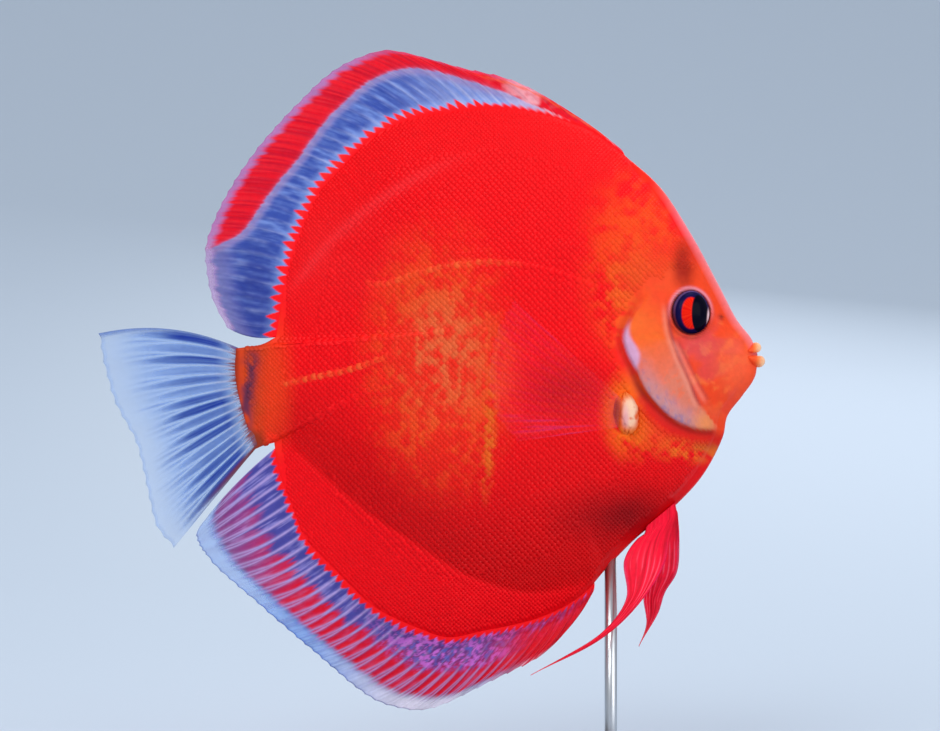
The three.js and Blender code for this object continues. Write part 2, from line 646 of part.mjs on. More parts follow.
// Stand
function roundedRectangle(length, width, radius) {
  const shape = new THREE.Shape();
  const x = length / 2 - radius;
  const y = width / 2 - radius;
  shape.absarc(x, y, radius, 0, Math.PI / 2);
  shape.absarc(-x, y, radius, Math.PI / 2, Math.PI);
  shape.absarc(-x, -y, radius, Math.PI, 1.5 * Math.PI);
  shape.absarc(x, -y, radius, 1.5 * Math.PI, 2 * Math.PI);
  shape.closePath();
  return shape;
}

function cylinder(radius, low, high, x, segments = 24) {
  const geometry = new THREE.CylinderGeometry(radius, radius, high - low, segments);
  geometry.rotateX(Math.PI / 2);
  geometry.translate(x, 0, (low + high) / 2);
  return solidOf(geometry);
}

function baseSolid() {
  const inset = BASE.bevel;
  const shape = roundedRectangle(BASE.length - 2 * inset, BASE.width - 2 * inset, BASE.corner - inset);
  const geometry = new THREE.ExtrudeGeometry(shape, {
    depth: BASE.height - 2 * inset,
    bevelThickness: inset,
    bevelSize: inset,
    bevelSegments: 2,
    curveSegments: 6,
  });
  geometry.translate(0, 0, inset);
  const socket = cylinder(ROD.radius + GAP, BASE.height - ROD.socket - GAP, BASE.height + 1, ROD.x);
  return solidOf(geometry).subtract(socket);
}

function rodSolid() {
  const belly = cylinder(ROD.radius, BASE.height - ROD.socket - CENTRE_HEIGHT, ROD.inBody, ROD.x);
  return largestPiece(belly.subtract(grownBody));
}

function collarSolid() {
  const inner = ROD.radius + GAP;
  const low = BASE.height + GAP;
  const high = low + COLLAR.height;
  const profile = [
    [inner, low], [COLLAR.radius, low], [COLLAR.radius, low + COLLAR.shoulder],
    [COLLAR.radius - COLLAR.slope, high - COLLAR.lip], [inner + COLLAR.lip, high], [inner, high], [inner, low],
  ];
  const geometry = new THREE.LatheGeometry(profile.map(([r, z]) => new THREE.Vector2(r, z)), 28);
  geometry.rotateX(Math.PI / 2);
  geometry.scale(1, -1, 1);
  geometry.translate(ROD.x, 0, 0);
  return solidOf(geometry);
}

// Materials
function finish(color, roughness, metalness = 0) {
  return new THREE.MeshStandardMaterial({ color, roughness, metalness });
}

const SKIN = finish(0xf01420, 0.35);
const FACE = finish(0xe85a28, 0.35);
const FIN = finish(0x5a78d0, 0.3);
const GLASSY_FIN = finish(0xd85a78, 0.3);
const EYE_BALL = finish(0x101024, 0.05);
const LIP = finish(0xf2a888, 0.35);
const WOOD = finish(0x3a2418, 0.4);
const STEEL = finish(0xb8bcc0, 0.25, 1);

// Assembly
const discus = new THREE.Group();
const fish = new THREE.Group();
fish.position.z = CENTRE_HEIGHT;
discus.add(fish);

function addPiece(group, name, solid, material) {
  const mesh = new THREE.Mesh(geometryOf(solid), material);
  mesh.name = name;
  group.add(mesh);
}

addPiece(fish, "head", headSolid(), FACE);
addPiece(fish, "torso", torsoSolid(), SKIN);
addPiece(fish, "caudal_peduncle", peduncleSolid(), SKIN);
addPiece(fish, "upper_lip", lip(UPPER_LIP), LIP);
addPiece(fish, "lower_lip", lip(LOWER_LIP), LIP);
addPiece(fish, "dorsal_fin", dorsalFin(), FIN);
addPiece(fish, "anal_fin", analFin(), FIN);
addPiece(fish, "caudal_fin", caudalFin(), FIN);
for (const [name, side] of [["right", -1], ["left", 1]]) {
  addPiece(fish, `eye_${name}`, eyeBall(side), EYE_BALL);
  addPiece(fish, `gill_cover_${name}`, gillCover(side), FACE);
  addPiece(fish, `pectoral_fin_${name}`, pectoralFin(side), GLASSY_FIN);
}
addPiece(fish, "pelvic_fin_right", pelvicFin(NEAR_PELVIC, -1), GLASSY_FIN);
addPiece(fish, "pelvic_fin_left", pelvicFin(FAR_PELVIC, 1), GLASSY_FIN);
addPiece(fish, "stand_rod", rodSolid(), STEEL);
addPiece(discus, "stand_collar", collarSolid(), STEEL);
addPiece(discus, "stand_base", baseSolid(), WOOD);

export default discus;
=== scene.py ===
"""A life-size red discus on a display stand: skin, scales, fins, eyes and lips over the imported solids."""
import math

import bpy
import numpy as np
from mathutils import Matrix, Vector


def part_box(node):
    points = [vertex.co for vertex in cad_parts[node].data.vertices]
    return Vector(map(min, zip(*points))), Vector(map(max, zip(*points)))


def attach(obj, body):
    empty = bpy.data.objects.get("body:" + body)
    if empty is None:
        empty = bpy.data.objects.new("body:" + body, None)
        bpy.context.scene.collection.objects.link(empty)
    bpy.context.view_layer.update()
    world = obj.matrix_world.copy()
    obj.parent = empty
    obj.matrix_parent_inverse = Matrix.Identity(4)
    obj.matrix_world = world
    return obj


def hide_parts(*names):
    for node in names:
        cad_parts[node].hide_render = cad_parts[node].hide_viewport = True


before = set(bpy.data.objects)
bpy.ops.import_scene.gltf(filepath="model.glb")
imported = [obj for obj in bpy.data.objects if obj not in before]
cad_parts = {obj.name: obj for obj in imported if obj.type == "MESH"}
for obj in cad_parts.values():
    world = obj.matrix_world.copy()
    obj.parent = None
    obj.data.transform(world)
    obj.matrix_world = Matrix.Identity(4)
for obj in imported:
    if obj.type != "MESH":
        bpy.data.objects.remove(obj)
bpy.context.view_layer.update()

# Driving dimensions, in millimetres from the fish's centre: [x, z] as the fish is seen from its right side
MM = 0.001
CENTRE_HEIGHT = 102.0
HUB = np.array([2.0, 10.0])
PHOTO_SIZE = (940, 731)
FISH_IN_PHOTO = (480, 370)
MM_PER_PIXEL = 0.24
CAMERA_DISTANCE = 650.0
SENSOR = 36.0
SEED = 7

BACK_LINE = [
    (66.6, 3.8), (65, 7.7), (61.7, 12), (57.4, 20.2), (50.4, 33.1), (43.2, 43.9), (35, 51.2),
    (26.6, 57.4), (13, 61.9), (2.9, 63.1), (-7.2, 62.2), (-16.6, 60.5), (-25.2, 56.4), (-33.6, 48.5),
    (-38.4, 43.2), (-43, 33.6), (-46.6, 21.8), (-48, 14.2), (-49, 7.9),
]
TAIL_TOP_LINE = [(-49, 7.9), (-52.3, 6.2), (-58.4, 5.2)]
TAIL_BASE_LINE = [(-58.4, 5.2), (-58.6, -1), (-57.2, -8.5), (-54, -19)]
TAIL_UNDER_LINE = [(-54, -19), (-51.6, -18), (-49.3, -17.4)]
BELLY_LINE = [
    (-49.3, -17.4), (-48.9, -21), (-48, -25), (-44.4, -34.6), (-42.2, -40.1), (-33.8, -49.2),
    (-25.2, -57.1), (-14.6, -62.2), (-7.7, -64.3), (0, -62.9), (14.6, -59.3), (24, -54.2),
    (31.7, -46.1), (37.2, -40.6), (47, -32.4), (53.5, -25.2), (58.3, -16), (59.4, -11),
    (62.8, -6.4), (66, -1.6), (66.6, 3.8),
]
FLANK_WIDTH = [
    (-58, 2.5), (-49, 4.2), (-35, 7.2), (-20, 10.6), (0, 13.2), (18, 14), (30, 13.4), (42, 11.6),
    (52, 9), (60, 6), (66, 3.2), (68, 2.6),
]
UPPER_EDGE = [(-58, 1.9), (-52, 1.5), (-49, 1.1), (33, 1.1), (40, 2.2), (50, 3), (60, 3), (67, 2.6)]
LOWER_EDGE = [(-58, 1.9), (-52, 1.5), (-49, 1.1), (25, 1.1), (32, 2), (45, 2.4), (58, 2.4), (67, 2.6)]
UPPER_SHOULDER = [(-58, 44), (-49, 46), (-30, 48), (0, 50), (20, 44), (40, 28), (50, 18), (67, 14)]
LOWER_SHOULDER = [(-58, 44), (-49, 44), (-30, 45), (0, 46), (20, 40), (40, 28), (55, 17), (67, 12)]
RISE_POWER = [(-58, 0.95), (0, 0.92), (25, 0.8), (45, 0.65), (67, 0.6)]
EDGE_ROUNDING = 0.8
CREASE_SPREAD = 0.14
UPPER_FROM = -6
INNER_RINGS, OUTER_RINGS = (0.012, 0.9, 130), (0.91, 1, 14)
EDGE_STEPS = 9
FIN_FRONT_UPPER = 36.4
FIN_FRONT_LOWER = 29.2
FIN_REAR = -49.9
TAIL_ROOT = {"x": -49.2, "low": -19.1, "high": 5.0}
SKIN_STRETCHES = [
    (BACK_LINE, 300), (TAIL_TOP_LINE, 20), (TAIL_BASE_LINE, 40), (TAIL_UNDER_LINE, 10), (BELLY_LINE, 300),
]

DORSAL_MARGIN = [
    (33.2, 53.6), (26.6, 58.6), (16.6, 65.2), (7.4, 69.9), (-6.2, 73.2), (-19.2, 76.6), (-24.2, 76.8),
    (-34.6, 72.5), (-43.9, 64.1), (-54.4, 52.1), (-62.2, 39.6), (-65.9, 29.3), (-65.5, 22.8),
    (-64.2, 17), (-60.7, 10.2),
]
DORSAL_GUIDES = [
    ((34.4, 51.6), (33.2, 53.6)), ((26.6, 57.4), (22.1, 62.2)), ((13, 61.9), (1.9, 71.4)),
    ((-7.2, 62.2), (-28, 75.6)), ((-25.2, 56.4), (-44.5, 63.4)), ((-38.4, 43.2), (-57.7, 47.2)),
    ((-44.9, 27.6), (-65.4, 31.5)), ((-48, 14.2), (-64.4, 17.6)), ((-49, 7.9), (-60.7, 10.2)),
]
ANAL_MARGIN = [
    (27.2, -53.2), (24.7, -57.6), (21.4, -61.9), (14.6, -68.6), (2.6, -74.8), (-12.2, -81.4),
    (-19.2, -81.2), (-26.2, -78.7), (-39.8, -67.7), (-53.6, -55.7), (-65, -45.1), (-67.9, -39.5),
    (-64.9, -34.6),
]
ANAL_GUIDES = [
    ((27.2, -51), (27.2, -53.2)), ((24, -54.2), (14.6, -68.6)), ((7.9, -60.9), (-9.4, -80.4)),
    ((-7.7, -64.3), (-26.2, -78.7)), ((-20.2, -59.8), (-36.5, -70.5)), ((-29.8, -53.5), (-45.3, -62.8)),
    ((-37.9, -44.9), (-56.3, -53.5)), ((-44.4, -34.6), (-65.5, -44.4)), ((-48.4, -24), (-67.9, -39.5)),
    ((-49, -18.6), (-64.9, -34.6)),
]
CAUDAL_MARGIN = [
    (-91.9, 8.8), (-91, 2.6), (-88.1, -8.1), (-83.3, -17.5), (-80.6, -29), (-78.4, -38), (-74.3, -43.2),
]
NEAR_PELVIC = {
    "front": [(47.8, -32.5), (45.4, -39.6), (44.2, -46.1), (38.2, -55.2), (29.4, -63.5), (12, -72.9)],
    "rear": [(40.8, -38.4), (37.2, -40.9), (34.5, -45.6), (34.9, -54.2), (28.9, -62.4), (12, -72.2)],
}
FAR_PELVIC = {
    "front": [(47.4, -32.9), (48.2, -41), (47.6, -49), (44.8, -54), (43.2, -59), (38.8, -67.2)],
    "rear": [(40.6, -38.6), (39.6, -44), (39.4, -50), (39.6, -56), (40.2, -61), (38.2, -66.8)],
}
PAD_PLACE = (34.3, -10.1)
PAD_SIZE = (3, 2.4, 4.9)
PAD_OUT = 0.6
PECTORAL_ROOT = [(33, -6.6), (32.4, -13.4)]
PECTORAL_MARGIN = [(7.6, 16.4), (3.2, 8), (1.8, -2), (3.6, -10.5), (8.4, -16.6)]
PECTORAL_SPREAD = 9.0

EYE_PLACE = (49.9, 13.6)
EYE_SIZE = (4.8, 3.4, 5.3)
EYE_SUNK = 2.0
EYE_FORWARD = math.radians(22)
GILL_EDGE = [
    (41, 19.4), (38.6, 16.6), (33.8, 8.4), (34.4, 4.6), (36.2, 0.8), (39.4, -5.6), (45.4, -11.6),
    (51, -14), (57.4, -14.4),
]
CHEEK_LINE = [(43.7, 16.8), (44.4, 9.8), (46.3, 3.8), (49, -2.2), (51.4, -7.7), (53.6, -10.1)]
CHEEK_INNER_LINE = [(45.6, 8), (48.4, 2.6), (51.4, -3.2), (54.6, -8.4)]
NOSTRIL = (57.6, 12.6)
UPPER_LIP = {"path": [(64.2, 2.9, 4.55), (65.6, 2.1, 5.15), (66.2, 0, 5.35)], "radius": 1.25}
LOWER_LIP = {"path": [(64.2, 2.9, 3), (66, 2.2, 2.3), (66.9, 0, 2.1)], "radius": 1.46}
LIP_CORNER_RADIUS = 0.55
MOUTH_LINE = [(61.8, 2.9), (63.4, 3.6), (66.8, 3.9)]
UPPER_CREASE = [(-46.8, 16.8), (-33.6, 32.4), (-19.2, 43.2), (-7.2, 49.2), (4.8, 52.8)]
LOWER_CREASE = [
    (-46.8, -17), (-35.3, -26.9), (-26.2, -34.1), (-16.8, -40.1), (-3.1, -48.5), (12, -52.8), (28.3, -49.9),
]
DORSAL_BAND = [
    (22, 59.4), (14.4, 63), (7.2, 66), (0, 68.6), (-7.2, 70.8), (-14.4, 72.4), (-19.2, 72.2),
    (-25.2, 70.1), (-31, 65.8), (-38.2, 58.3), (-43.7, 50.6), (-49.9, 43.2), (-53, 38.6), (-58, 32.4),
    (-67, 28),
]
DORSAL_REAR, ANAL_REAR = (-49, 8.3), (-49, -18.9)
TAIL_FIN_TOP, TAIL_FIN_LOW = (-58.4, 5), (-54, -18.9)
DORSAL_BOW, ANAL_BOW = (-0.13, 0.2), (0.13, -0.06)
LATERAL_UPPER = [(-28.3, 21.6), (-24.5, 20.4), (-14.2, 23), (-7.9, 24.5), (3.8, 25.4), (16, 23.4), (30, 18.5)]
LATERAL_LOWER = [(-48.5, -3.6), (-45.6, -3.1), (-40.6, -1.9), (-33.4, -0.5), (-25.9, 1.7), (-20.6, 4.1)]

SCALE_PATCHES = {"flank": (1.42, 0.2, 1), "edge": (1.05, 0.012, 0.2)}
SCALE_RIM = [
    (0.66, 0, -0.026), (0.46, 0.44, -0.022), (0, 0.6, 0), (-0.42, 0.44, 0.016),
    (-0.62, 0, 0.02), (-0.42, -0.44, 0.016), (0, -0.6, 0), (0.46, -0.44, -0.022),
]
SCALE_MIDDLE = (-0.05, 0, 0.02)
SCALE_SKIRT_DROP = 0.05
SCALE_LENGTH, SCALE_BREADTH, SCALE_ROW_GAP = 1.18, 1.02, 0.52
SCALED_FROM, SCALED_TO, TAIL_RIM_FREE = -56, 57, 0.04
BARE_FACE = {"rear": 31, "low": -21, "top": 24}
UNWRAP_PATCH = 0.0024
UNWRAP_WIDE, UNWRAP_HIGH = 0.003, 0.0055

BASE_LENGTH, BASE_WIDTH, BASE_HEIGHT = 110, 60, 8.0
BASE_CORNER, BASE_BEVEL = 10, 1.6
ROD_X, ROD_RADIUS, ROD_IN_BASE, ROD_IN_BELLY = 31.4, 1.5, 4.5, 0.6
COLLAR_PROFILE = [
    (3.9, 0.02), (4, 0.17), (4, 1.12), (3.8, 1.52), (3.1, 2.62), (2.5, 3.12), (2, 3.32), (1.5, 3.37),
]

# The studio, in metres: each light's place, size and power
LIGHTS = {
    "key": ((-0.45, -0.85, 0.75), (0.7, 0.7), 5.6),
    "fill": ((0.75, -0.7, 0.3), (0.8, 0.8), 4.2),
    "top": ((0.0, 0.15, 1.0), (0.8, 0.5), 2.2),
    "back": ((0.3, 0.9, 0.5), (0.8, 0.5), 2.0),
}
LIGHT_AIM = (0, 0, 0.1)
WORLD_TONE, WORLD_STRENGTH = (0.86, 0.92, 1.0, 1), 0.58
FLOOR_FRONT, FLOOR_BACK, BACKDROP_BEND, BACKDROP_HEIGHT, STAGE_HALF = -2.5, 0.35, 1.9, 3.0, 3.0


# Curves, tables and noise
def hermite(p1, p2, t1, t2, t):
    return ((2 * t**3 - 3 * t**2 + 1) * p1 + (t**3 - 2 * t**2 + t) * t1
            + (3 * t**2 - 2 * t**3) * p2 + (t**3 - t**2) * t2)


class Line:
    """A smooth line through a few places, measured along its length from 0 to 1."""

    def __init__(self, points):
        p = np.asarray(points, float)
        wide = np.vstack([2 * p[0] - p[1], p, 2 * p[-1] - p[-2]])
        t = np.linspace(0, 1, 40, endpoint=False)[:, None]
        runs = []
        for k in range(1, len(wide) - 2):
            p0, p1, p2, p3 = wide[k - 1:k + 3]
            d0, d1, d2 = [np.linalg.norm(b - a) ** 0.5 for a, b in ((p0, p1), (p1, p2), (p2, p3))]
            t1 = ((p1 - p0) / d0 - (p2 - p0) / (d0 + d1) + (p2 - p1) / d1) * d1
            t2 = ((p2 - p1) / d1 - (p3 - p1) / (d1 + d2) + (p3 - p2) / d2) * d1
            runs.append(hermite(p1, p2, t1, t2, t))
        self.places = np.vstack(runs + [p[-1:]])
        steps = np.linalg.norm(np.diff(self.places, axis=0), axis=1)
        self.travel = np.concatenate([[0], np.cumsum(steps)])
        self.length = self.travel[-1]

    def at(self, u):
        s = np.asarray(u, float) * self.length
        return np.stack([np.interp(s, self.travel, column) for column in self.places.T], -1)

    def tangent(self, u):
        u = np.asarray(u, float)
        along = self.at(np.minimum(1, u + 0.002)) - self.at(np.maximum(0, u - 0.002))
        return along / np.linalg.norm(along, axis=-1, keepdims=True)

    def fraction_near(self, place):
        gaps = np.linalg.norm(self.places - np.asarray(place, float), axis=1)
        return self.travel[np.argmin(gaps)] / self.length

    def measure(self, x, z, samples=160):
        """How far along the line each place lies, and its distance to it, positive on the line's left."""
        u = np.linspace(0, 1, samples)
        on = self.at(u)
        flat_x, flat_z = np.ravel(x), np.ravel(z)
        nearest = np.zeros(len(flat_x), int)
        for start in range(0, len(flat_x), 20000):
            part = slice(start, start + 20000)
            gaps = (flat_x[part, None] - on[:, 0]) ** 2 + (flat_z[part, None] - on[:, 1]) ** 2
            nearest[part] = gaps.argmin(1)
        along = self.tangent(u)[nearest]
        dx, dz = flat_x - on[nearest, 0], flat_z - on[nearest, 1]
        side = along[:, 0] * dz - along[:, 1] * dx
        past_end = (nearest == 0) | (nearest == samples - 1)
        distance = np.where(past_end, np.sign(side) * np.hypot(dx, dz), side)
        return u[nearest].reshape(np.shape(x)), distance.reshape(np.shape(x))


def value_at(table, x):
    """A smooth curve through the (x, value) rows of a table."""
    keys, values = np.asarray(table, float).T
    last = len(keys) - 1
    x = np.clip(x, keys[0], keys[-1])
    i = np.clip(np.searchsorted(keys, x, side="right") - 1, 0, last - 1)
    low = np.maximum(np.arange(last + 1) - 1, 0)
    high = np.minimum(np.arange(last + 1) + 1, last)
    slope = (values[high] - values[low]) / (keys[high] - keys[low])
    span = keys[i + 1] - keys[i]
    t = (x - keys[i]) / span
    return hermite(values[i], values[i + 1], slope[i] * span, slope[i + 1] * span, t)


def ramp(low, high, x):
    """Climbs smoothly from 0 at one value to 1 at the other, which may be the smaller one."""
    t = np.clip((np.asarray(x, float) - low) / (high - low), 0, 1)
    return t * t * (3 - 2 * t)


def mix(a, b, t):
    return a + (b - a) * t


def bell(x, width):
    """1 at zero, falling off to either side."""
    return np.exp(-(np.asarray(x) / width) ** 2)


def noise(x, z, size, seed=0):
    """Smooth seeded noise from 0 to 1 with cells of the given size."""
    draws = np.random.default_rng(SEED + seed).random((64, 64))
    gx, gz = np.asarray(x) / size, np.asarray(z) / size
    ix, iz = np.floor(gx).astype(int), np.floor(gz).astype(int)
    fx, fz = ramp(0, 1, gx - ix), ramp(0, 1, gz - iz)
    pick = lambda a, b: draws[a % 64, b % 64]
    low = mix(pick(ix, iz), pick(ix + 1, iz), fx)
    high = mix(pick(ix, iz + 1), pick(ix + 1, iz + 1), fx)
    return mix(low, high, fz)


def rough_noise(x, z, size, seed=0):
    return (0.55 * noise(x, z, size, seed) + 0.3 * noise(x, z, size / 2.1, seed + 1)
            + 0.15 * noise(x, z, size / 4.3, seed + 2))


def rgb(red, green, blue):
    """A colour as a screen shows it, from 0 to 255, turned into scene-linear values."""
    c = np.array([red, green, blue], float) / 255
    return np.where(c <= 0.04045, c / 12.92, ((c + 0.055) / 1.055) ** 2.4)


class Tint:
    """A colour at each place, laid on in layers: a tone is a screen colour or an array of linear ones."""

    def __init__(self, base, places):
        self.values = np.broadcast_to(rgb(*base), np.shape(places) + (3,))

    def add(self, tone, mask):
        linear = rgb(*tone) if isinstance(tone, tuple) else tone
        self.values = self.values + (linear - self.values) * np.clip(mask, 0, 1)[..., None]

    def rows(self, alpha=1.0):
        return with_alpha(self.values, np.clip(alpha, 0, 1))


def with_alpha(colours, alpha=1.0):
    """One RGBA row for each place."""
    return np.concatenate([colours, np.broadcast_to(alpha, colours.shape[:-1])[..., None]], -1).reshape(-1, 4)


def fade(along, rise, fall):
    """Rises after a line's start and falls again before its end."""
    return ramp(0, rise, along) * ramp(1, fall, along)


def patch(x, z, centre, radius, soft=0.35):
    """1 inside an oval patch and 0 outside it, with a soft edge."""
    r = np.hypot((x - centre[0]) / radius[0], (z - centre[1]) / radius[1])
    return 1 - ramp(1 - soft, 1 + soft, r)


# Meshes
def make_piece(name, places, faces, material, colours=None, nodes=()):
    """A smooth mesh from places in millimetres, with one RGBA row for each place, riding on the fish."""
    mesh = bpy.data.meshes.new(name)
    mesh.from_pydata(((places + [0, 0, CENTRE_HEIGHT]) * MM).tolist(), [], faces)
    mesh.polygons.foreach_set("use_smooth", [True] * len(faces))
    if colours is not None:
        layer = mesh.color_attributes.new("tint", "FLOAT_COLOR", "POINT")
        layer.data.foreach_set("color", np.ascontiguousarray(colours, np.float32).ravel())
    mesh.update()
    mesh.materials.append(material)
    made = bpy.data.objects.new(name, mesh)
    bpy.context.scene.collection.objects.link(made)
    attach(made, "root")
    if nodes:
        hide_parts(*nodes)
    return made


def ball_grid(around, top, bottom, rows):
    """Longitudes and latitudes of rings of places on a ball, from its top pole down."""
    return np.meshgrid(np.linspace(0, 2 * np.pi, around, endpoint=False), np.linspace(top, bottom, rows))


def ring_faces(rows, count, ends="open", flip=False):
    """Quads between closed rings; "flat" caps both ends, "poles" joins them to two places after the rest."""
    index = np.arange(rows * count).reshape(rows, count)
    turned = np.roll(index, -1, 1)
    faces = np.stack([index[:-1], turned[:-1], turned[1:], index[1:]], -1).reshape(-1, 4).tolist()
    if ends == "flat":
        faces += [index[0, ::-1].tolist(), index[-1].tolist()]
    if ends == "poles":
        faces += [[rows * count, b, a] for a, b in zip(index[0].tolist(), turned[0].tolist())]
        faces += [[rows * count + 1, a, b] for a, b in zip(index[-1].tolist(), turned[-1].tolist())]
    return [face[::-1] for face in faces] if flip else faces


def closed_sheet(x, y, z, half):
    """Places and faces of a thin sheet: a grid of places, half its thickness to either side."""
    columns, rows = x.shape
    index = np.arange(columns * rows).reshape(columns, rows)
    far = index + columns * rows
    quads = [
        np.stack([index[:-1, :-1], index[:-1, 1:], index[1:, 1:], index[1:, :-1]], -1).reshape(-1, 4),
        np.stack([far[:-1, :-1], far[1:, :-1], far[1:, 1:], far[:-1, 1:]], -1).reshape(-1, 4),
    ]
    for edge, far_edge in (
        (index[:, 0], far[:, 0]), (index[::-1, -1], far[::-1, -1]),
        (index[0, ::-1], far[0, ::-1]), (index[-1, :], far[-1, :]),
    ):
        quads.append(np.stack([edge[:-1], edge[1:], far_edge[1:], far_edge[:-1]], -1))
    places = np.concatenate([np.stack([x, y + side * half, z], -1).reshape(-1, 3) for side in (-1, 1)])
    return places, np.concatenate(quads).tolist()


# Camera, light and stage
def make_camera():
    lens = bpy.data.cameras.new("camera")
    lens.sensor_width = SENSOR
    lens.lens = SENSOR * CAMERA_DISTANCE / (PHOTO_SIZE[0] * MM_PER_PIXEL)
    lens.clip_start = 0.05
    lens.clip_end = 20
    right = (PHOTO_SIZE[0] / 2 - FISH_IN_PHOTO[0]) * MM_PER_PIXEL
    up = (FISH_IN_PHOTO[1] - PHOTO_SIZE[1] / 2) * MM_PER_PIXEL + CENTRE_HEIGHT
    camera = bpy.data.objects.new("camera", lens)
    camera.location = (right * MM, -CAMERA_DISTANCE * MM, up * MM)
    camera.rotation_euler = (math.pi / 2, 0, 0)
    bpy.context.scene.collection.objects.link(camera)
    bpy.context.scene.camera = camera


def light_scene():
    scene = bpy.context.scene
    scene.view_settings.view_transform = "Standard"
    scene.world = bpy.data.worlds.new("studio")
    scene.world.use_nodes = True
    background = scene.world.node_tree.nodes["Background"].inputs
    background[0].default_value = WORLD_TONE
    background[1].default_value = WORLD_STRENGTH
    for name, (place, size, power) in LIGHTS.items():
        data = bpy.data.lights.new(name, "AREA")
        data.shape = "RECTANGLE"
        data.size, data.size_y = size
        data.energy = power
        light = bpy.data.objects.new(name, data)
        light.location = place
        light.rotation_euler = (Vector(LIGHT_AIM) - Vector(place)).to_track_quat("-Z", "Y").to_euler()
        scene.collection.objects.link(light)


def make_stage():
    """A pale floor that curves up into a backdrop."""
    profile = [(FLOOR_FRONT, 0), (FLOOR_BACK, 0)]
    for a in np.linspace(0.1, math.pi / 2, 20):
        profile.append((FLOOR_BACK + BACKDROP_BEND * math.sin(a), BACKDROP_BEND * (1 - math.cos(a))))
    profile.append((FLOOR_BACK + BACKDROP_BEND, BACKDROP_HEIGHT))
    places = [(x, y, z) for x in (-STAGE_HALF, STAGE_HALF) for y, z in profile]
    n = len(profile)
    mesh = bpy.data.meshes.new("stage")
    mesh.from_pydata(places, [], [(i, i + n, i + n + 1, i + 1) for i in range(n - 1)])
    mesh.polygons.foreach_set("use_smooth", [True] * (n - 1))
    paper = Surface("stage_paper", roughness=0.9)
    paper.shader["Base Color"].default_value = (*rgb(206, 218, 232), 1)
    mesh.materials.append(paper.material)
    stage = bpy.data.objects.new("stage", mesh)
    bpy.context.scene.collection.objects.link(stage)


# Materials
class Surface:
    """A material of nodes round one Principled shader."""

    def __init__(self, name, roughness, specular=0.5, coat=0.0, coat_roughness=0.1, metallic=0.0):
        self.material = bpy.data.materials.new(name)
        self.material.use_nodes = True
        self.tree = self.material.node_tree
        self.shader = self.tree.nodes["Principled BSDF"].inputs
        self.shader["Roughness"].default_value = roughness
        self.shader["Specular IOR Level"].default_value = specular
        self.shader["Coat Weight"].default_value = coat
        self.shader["Coat Roughness"].default_value = coat_roughness
        self.shader["Metallic"].default_value = metallic

    def node(self, kind, sources=(), **values):
        """A new node: sources are linked to the inputs named beside them, values are set on theirs."""
        made = self.tree.nodes.new("ShaderNode" + kind)
        for socket, source in dict(sources).items():
            self.tree.links.new(source, made.inputs[socket])
        for socket, value in values.items():
            made.inputs[socket.replace("_", " ")].default_value = value
        return made

    def noise(self, scale, detail, stretch=(1, 1, 1)):
        """Noise set in the object's own place, as a socket from 0 to 1."""
        place = self.node("TexCoord").outputs["Object"]
        mapped = self.node("Mapping", {"Vector": place}, Scale=stretch).outputs["Vector"]
        return self.node("TexNoise", {"Vector": mapped}, Scale=scale, Detail=detail).outputs["Fac"]

    def spread(self, source, low, high):
        """The middle half of a noise, spread between two values."""
        return self.node("MapRange", {"Value": source}, From_Min=0.25, From_Max=0.75,
                         To_Min=low, To_Max=high).outputs["Result"]

    def link(self, source, socket):
        self.tree.links.new(source, self.shader[socket])

    def shade(self, grain, low, high, **colour):
        """Lightens and darkens the base colour with a grain; returns the node for a colour of its own."""
        shade = self.node("HueSaturation", {"Value": self.spread(grain, low, high)}, **colour)
        self.link(shade.outputs["Color"], "Base Color")
        return shade

    def bump(self, height, distance, strength=0.5):
        bump = self.node("Bump", {"Height": height}, Strength=strength, Distance=distance)
        self.link(bump.outputs["Normal"], "Normal")


def tinted_material(name, roughness, specular, coat, grain, bump_scale, bump_height, alpha=False):
    """Skin or membrane with the tint painted on its mesh as its colours, painted shade and highlights among
    them, and a fine grain over them.
    """
    surface = Surface(name, roughness, specular, coat, 0.18)
    tint = surface.node("Attribute")
    tint.attribute_name = "tint"
    shade = surface.shade(surface.noise(900, 4), 1 - grain, 1 + grain)
    surface.tree.links.new(tint.outputs["Color"], shade.inputs["Color"])
    if alpha:
        surface.link(tint.outputs["Alpha"], "Alpha")
    surface.link(surface.spread(surface.noise(260, 2), roughness - 0.07, roughness + 0.08), "Roughness")
    surface.bump(surface.noise(bump_scale, 3), bump_height)
    return surface.material


def wood_material():
    surface = Surface("walnut", roughness=0.42, specular=0.3, coat=0.08, coat_roughness=0.25)
    pores = surface.noise(420, 3, (0.06, 1, 1))
    tones = surface.node("ValToRGB", {"Fac": surface.noise(38, 6, (0.35, 5, 5))})
    for end, place, colour in zip(tones.color_ramp.elements, (0.32, 0.68), ((38, 22, 14), (92, 56, 34))):
        end.position = place
        end.color = (*rgb(*colour), 1)
    shade = surface.shade(pores, 0.72, 1.12)
    surface.tree.links.new(tones.outputs["Color"], shade.inputs["Color"])
    surface.link(surface.spread(pores, 0.46, 0.3), "Roughness")
    surface.bump(pores, 0.00025, 0.4)
    return surface.material


def steel_material():
    surface = Surface("satin_steel", roughness=0.3, metallic=1.0)
    brushed = surface.noise(700, 2, (1, 1, 0.03))
    surface.shade(brushed, 0.9, 1.08, Color=(*rgb(196, 199, 203), 1))
    surface.link(surface.spread(brushed, 0.22, 0.38), "Roughness")
    surface.bump(brushed, 0.00005, 0.3)
    return surface.material


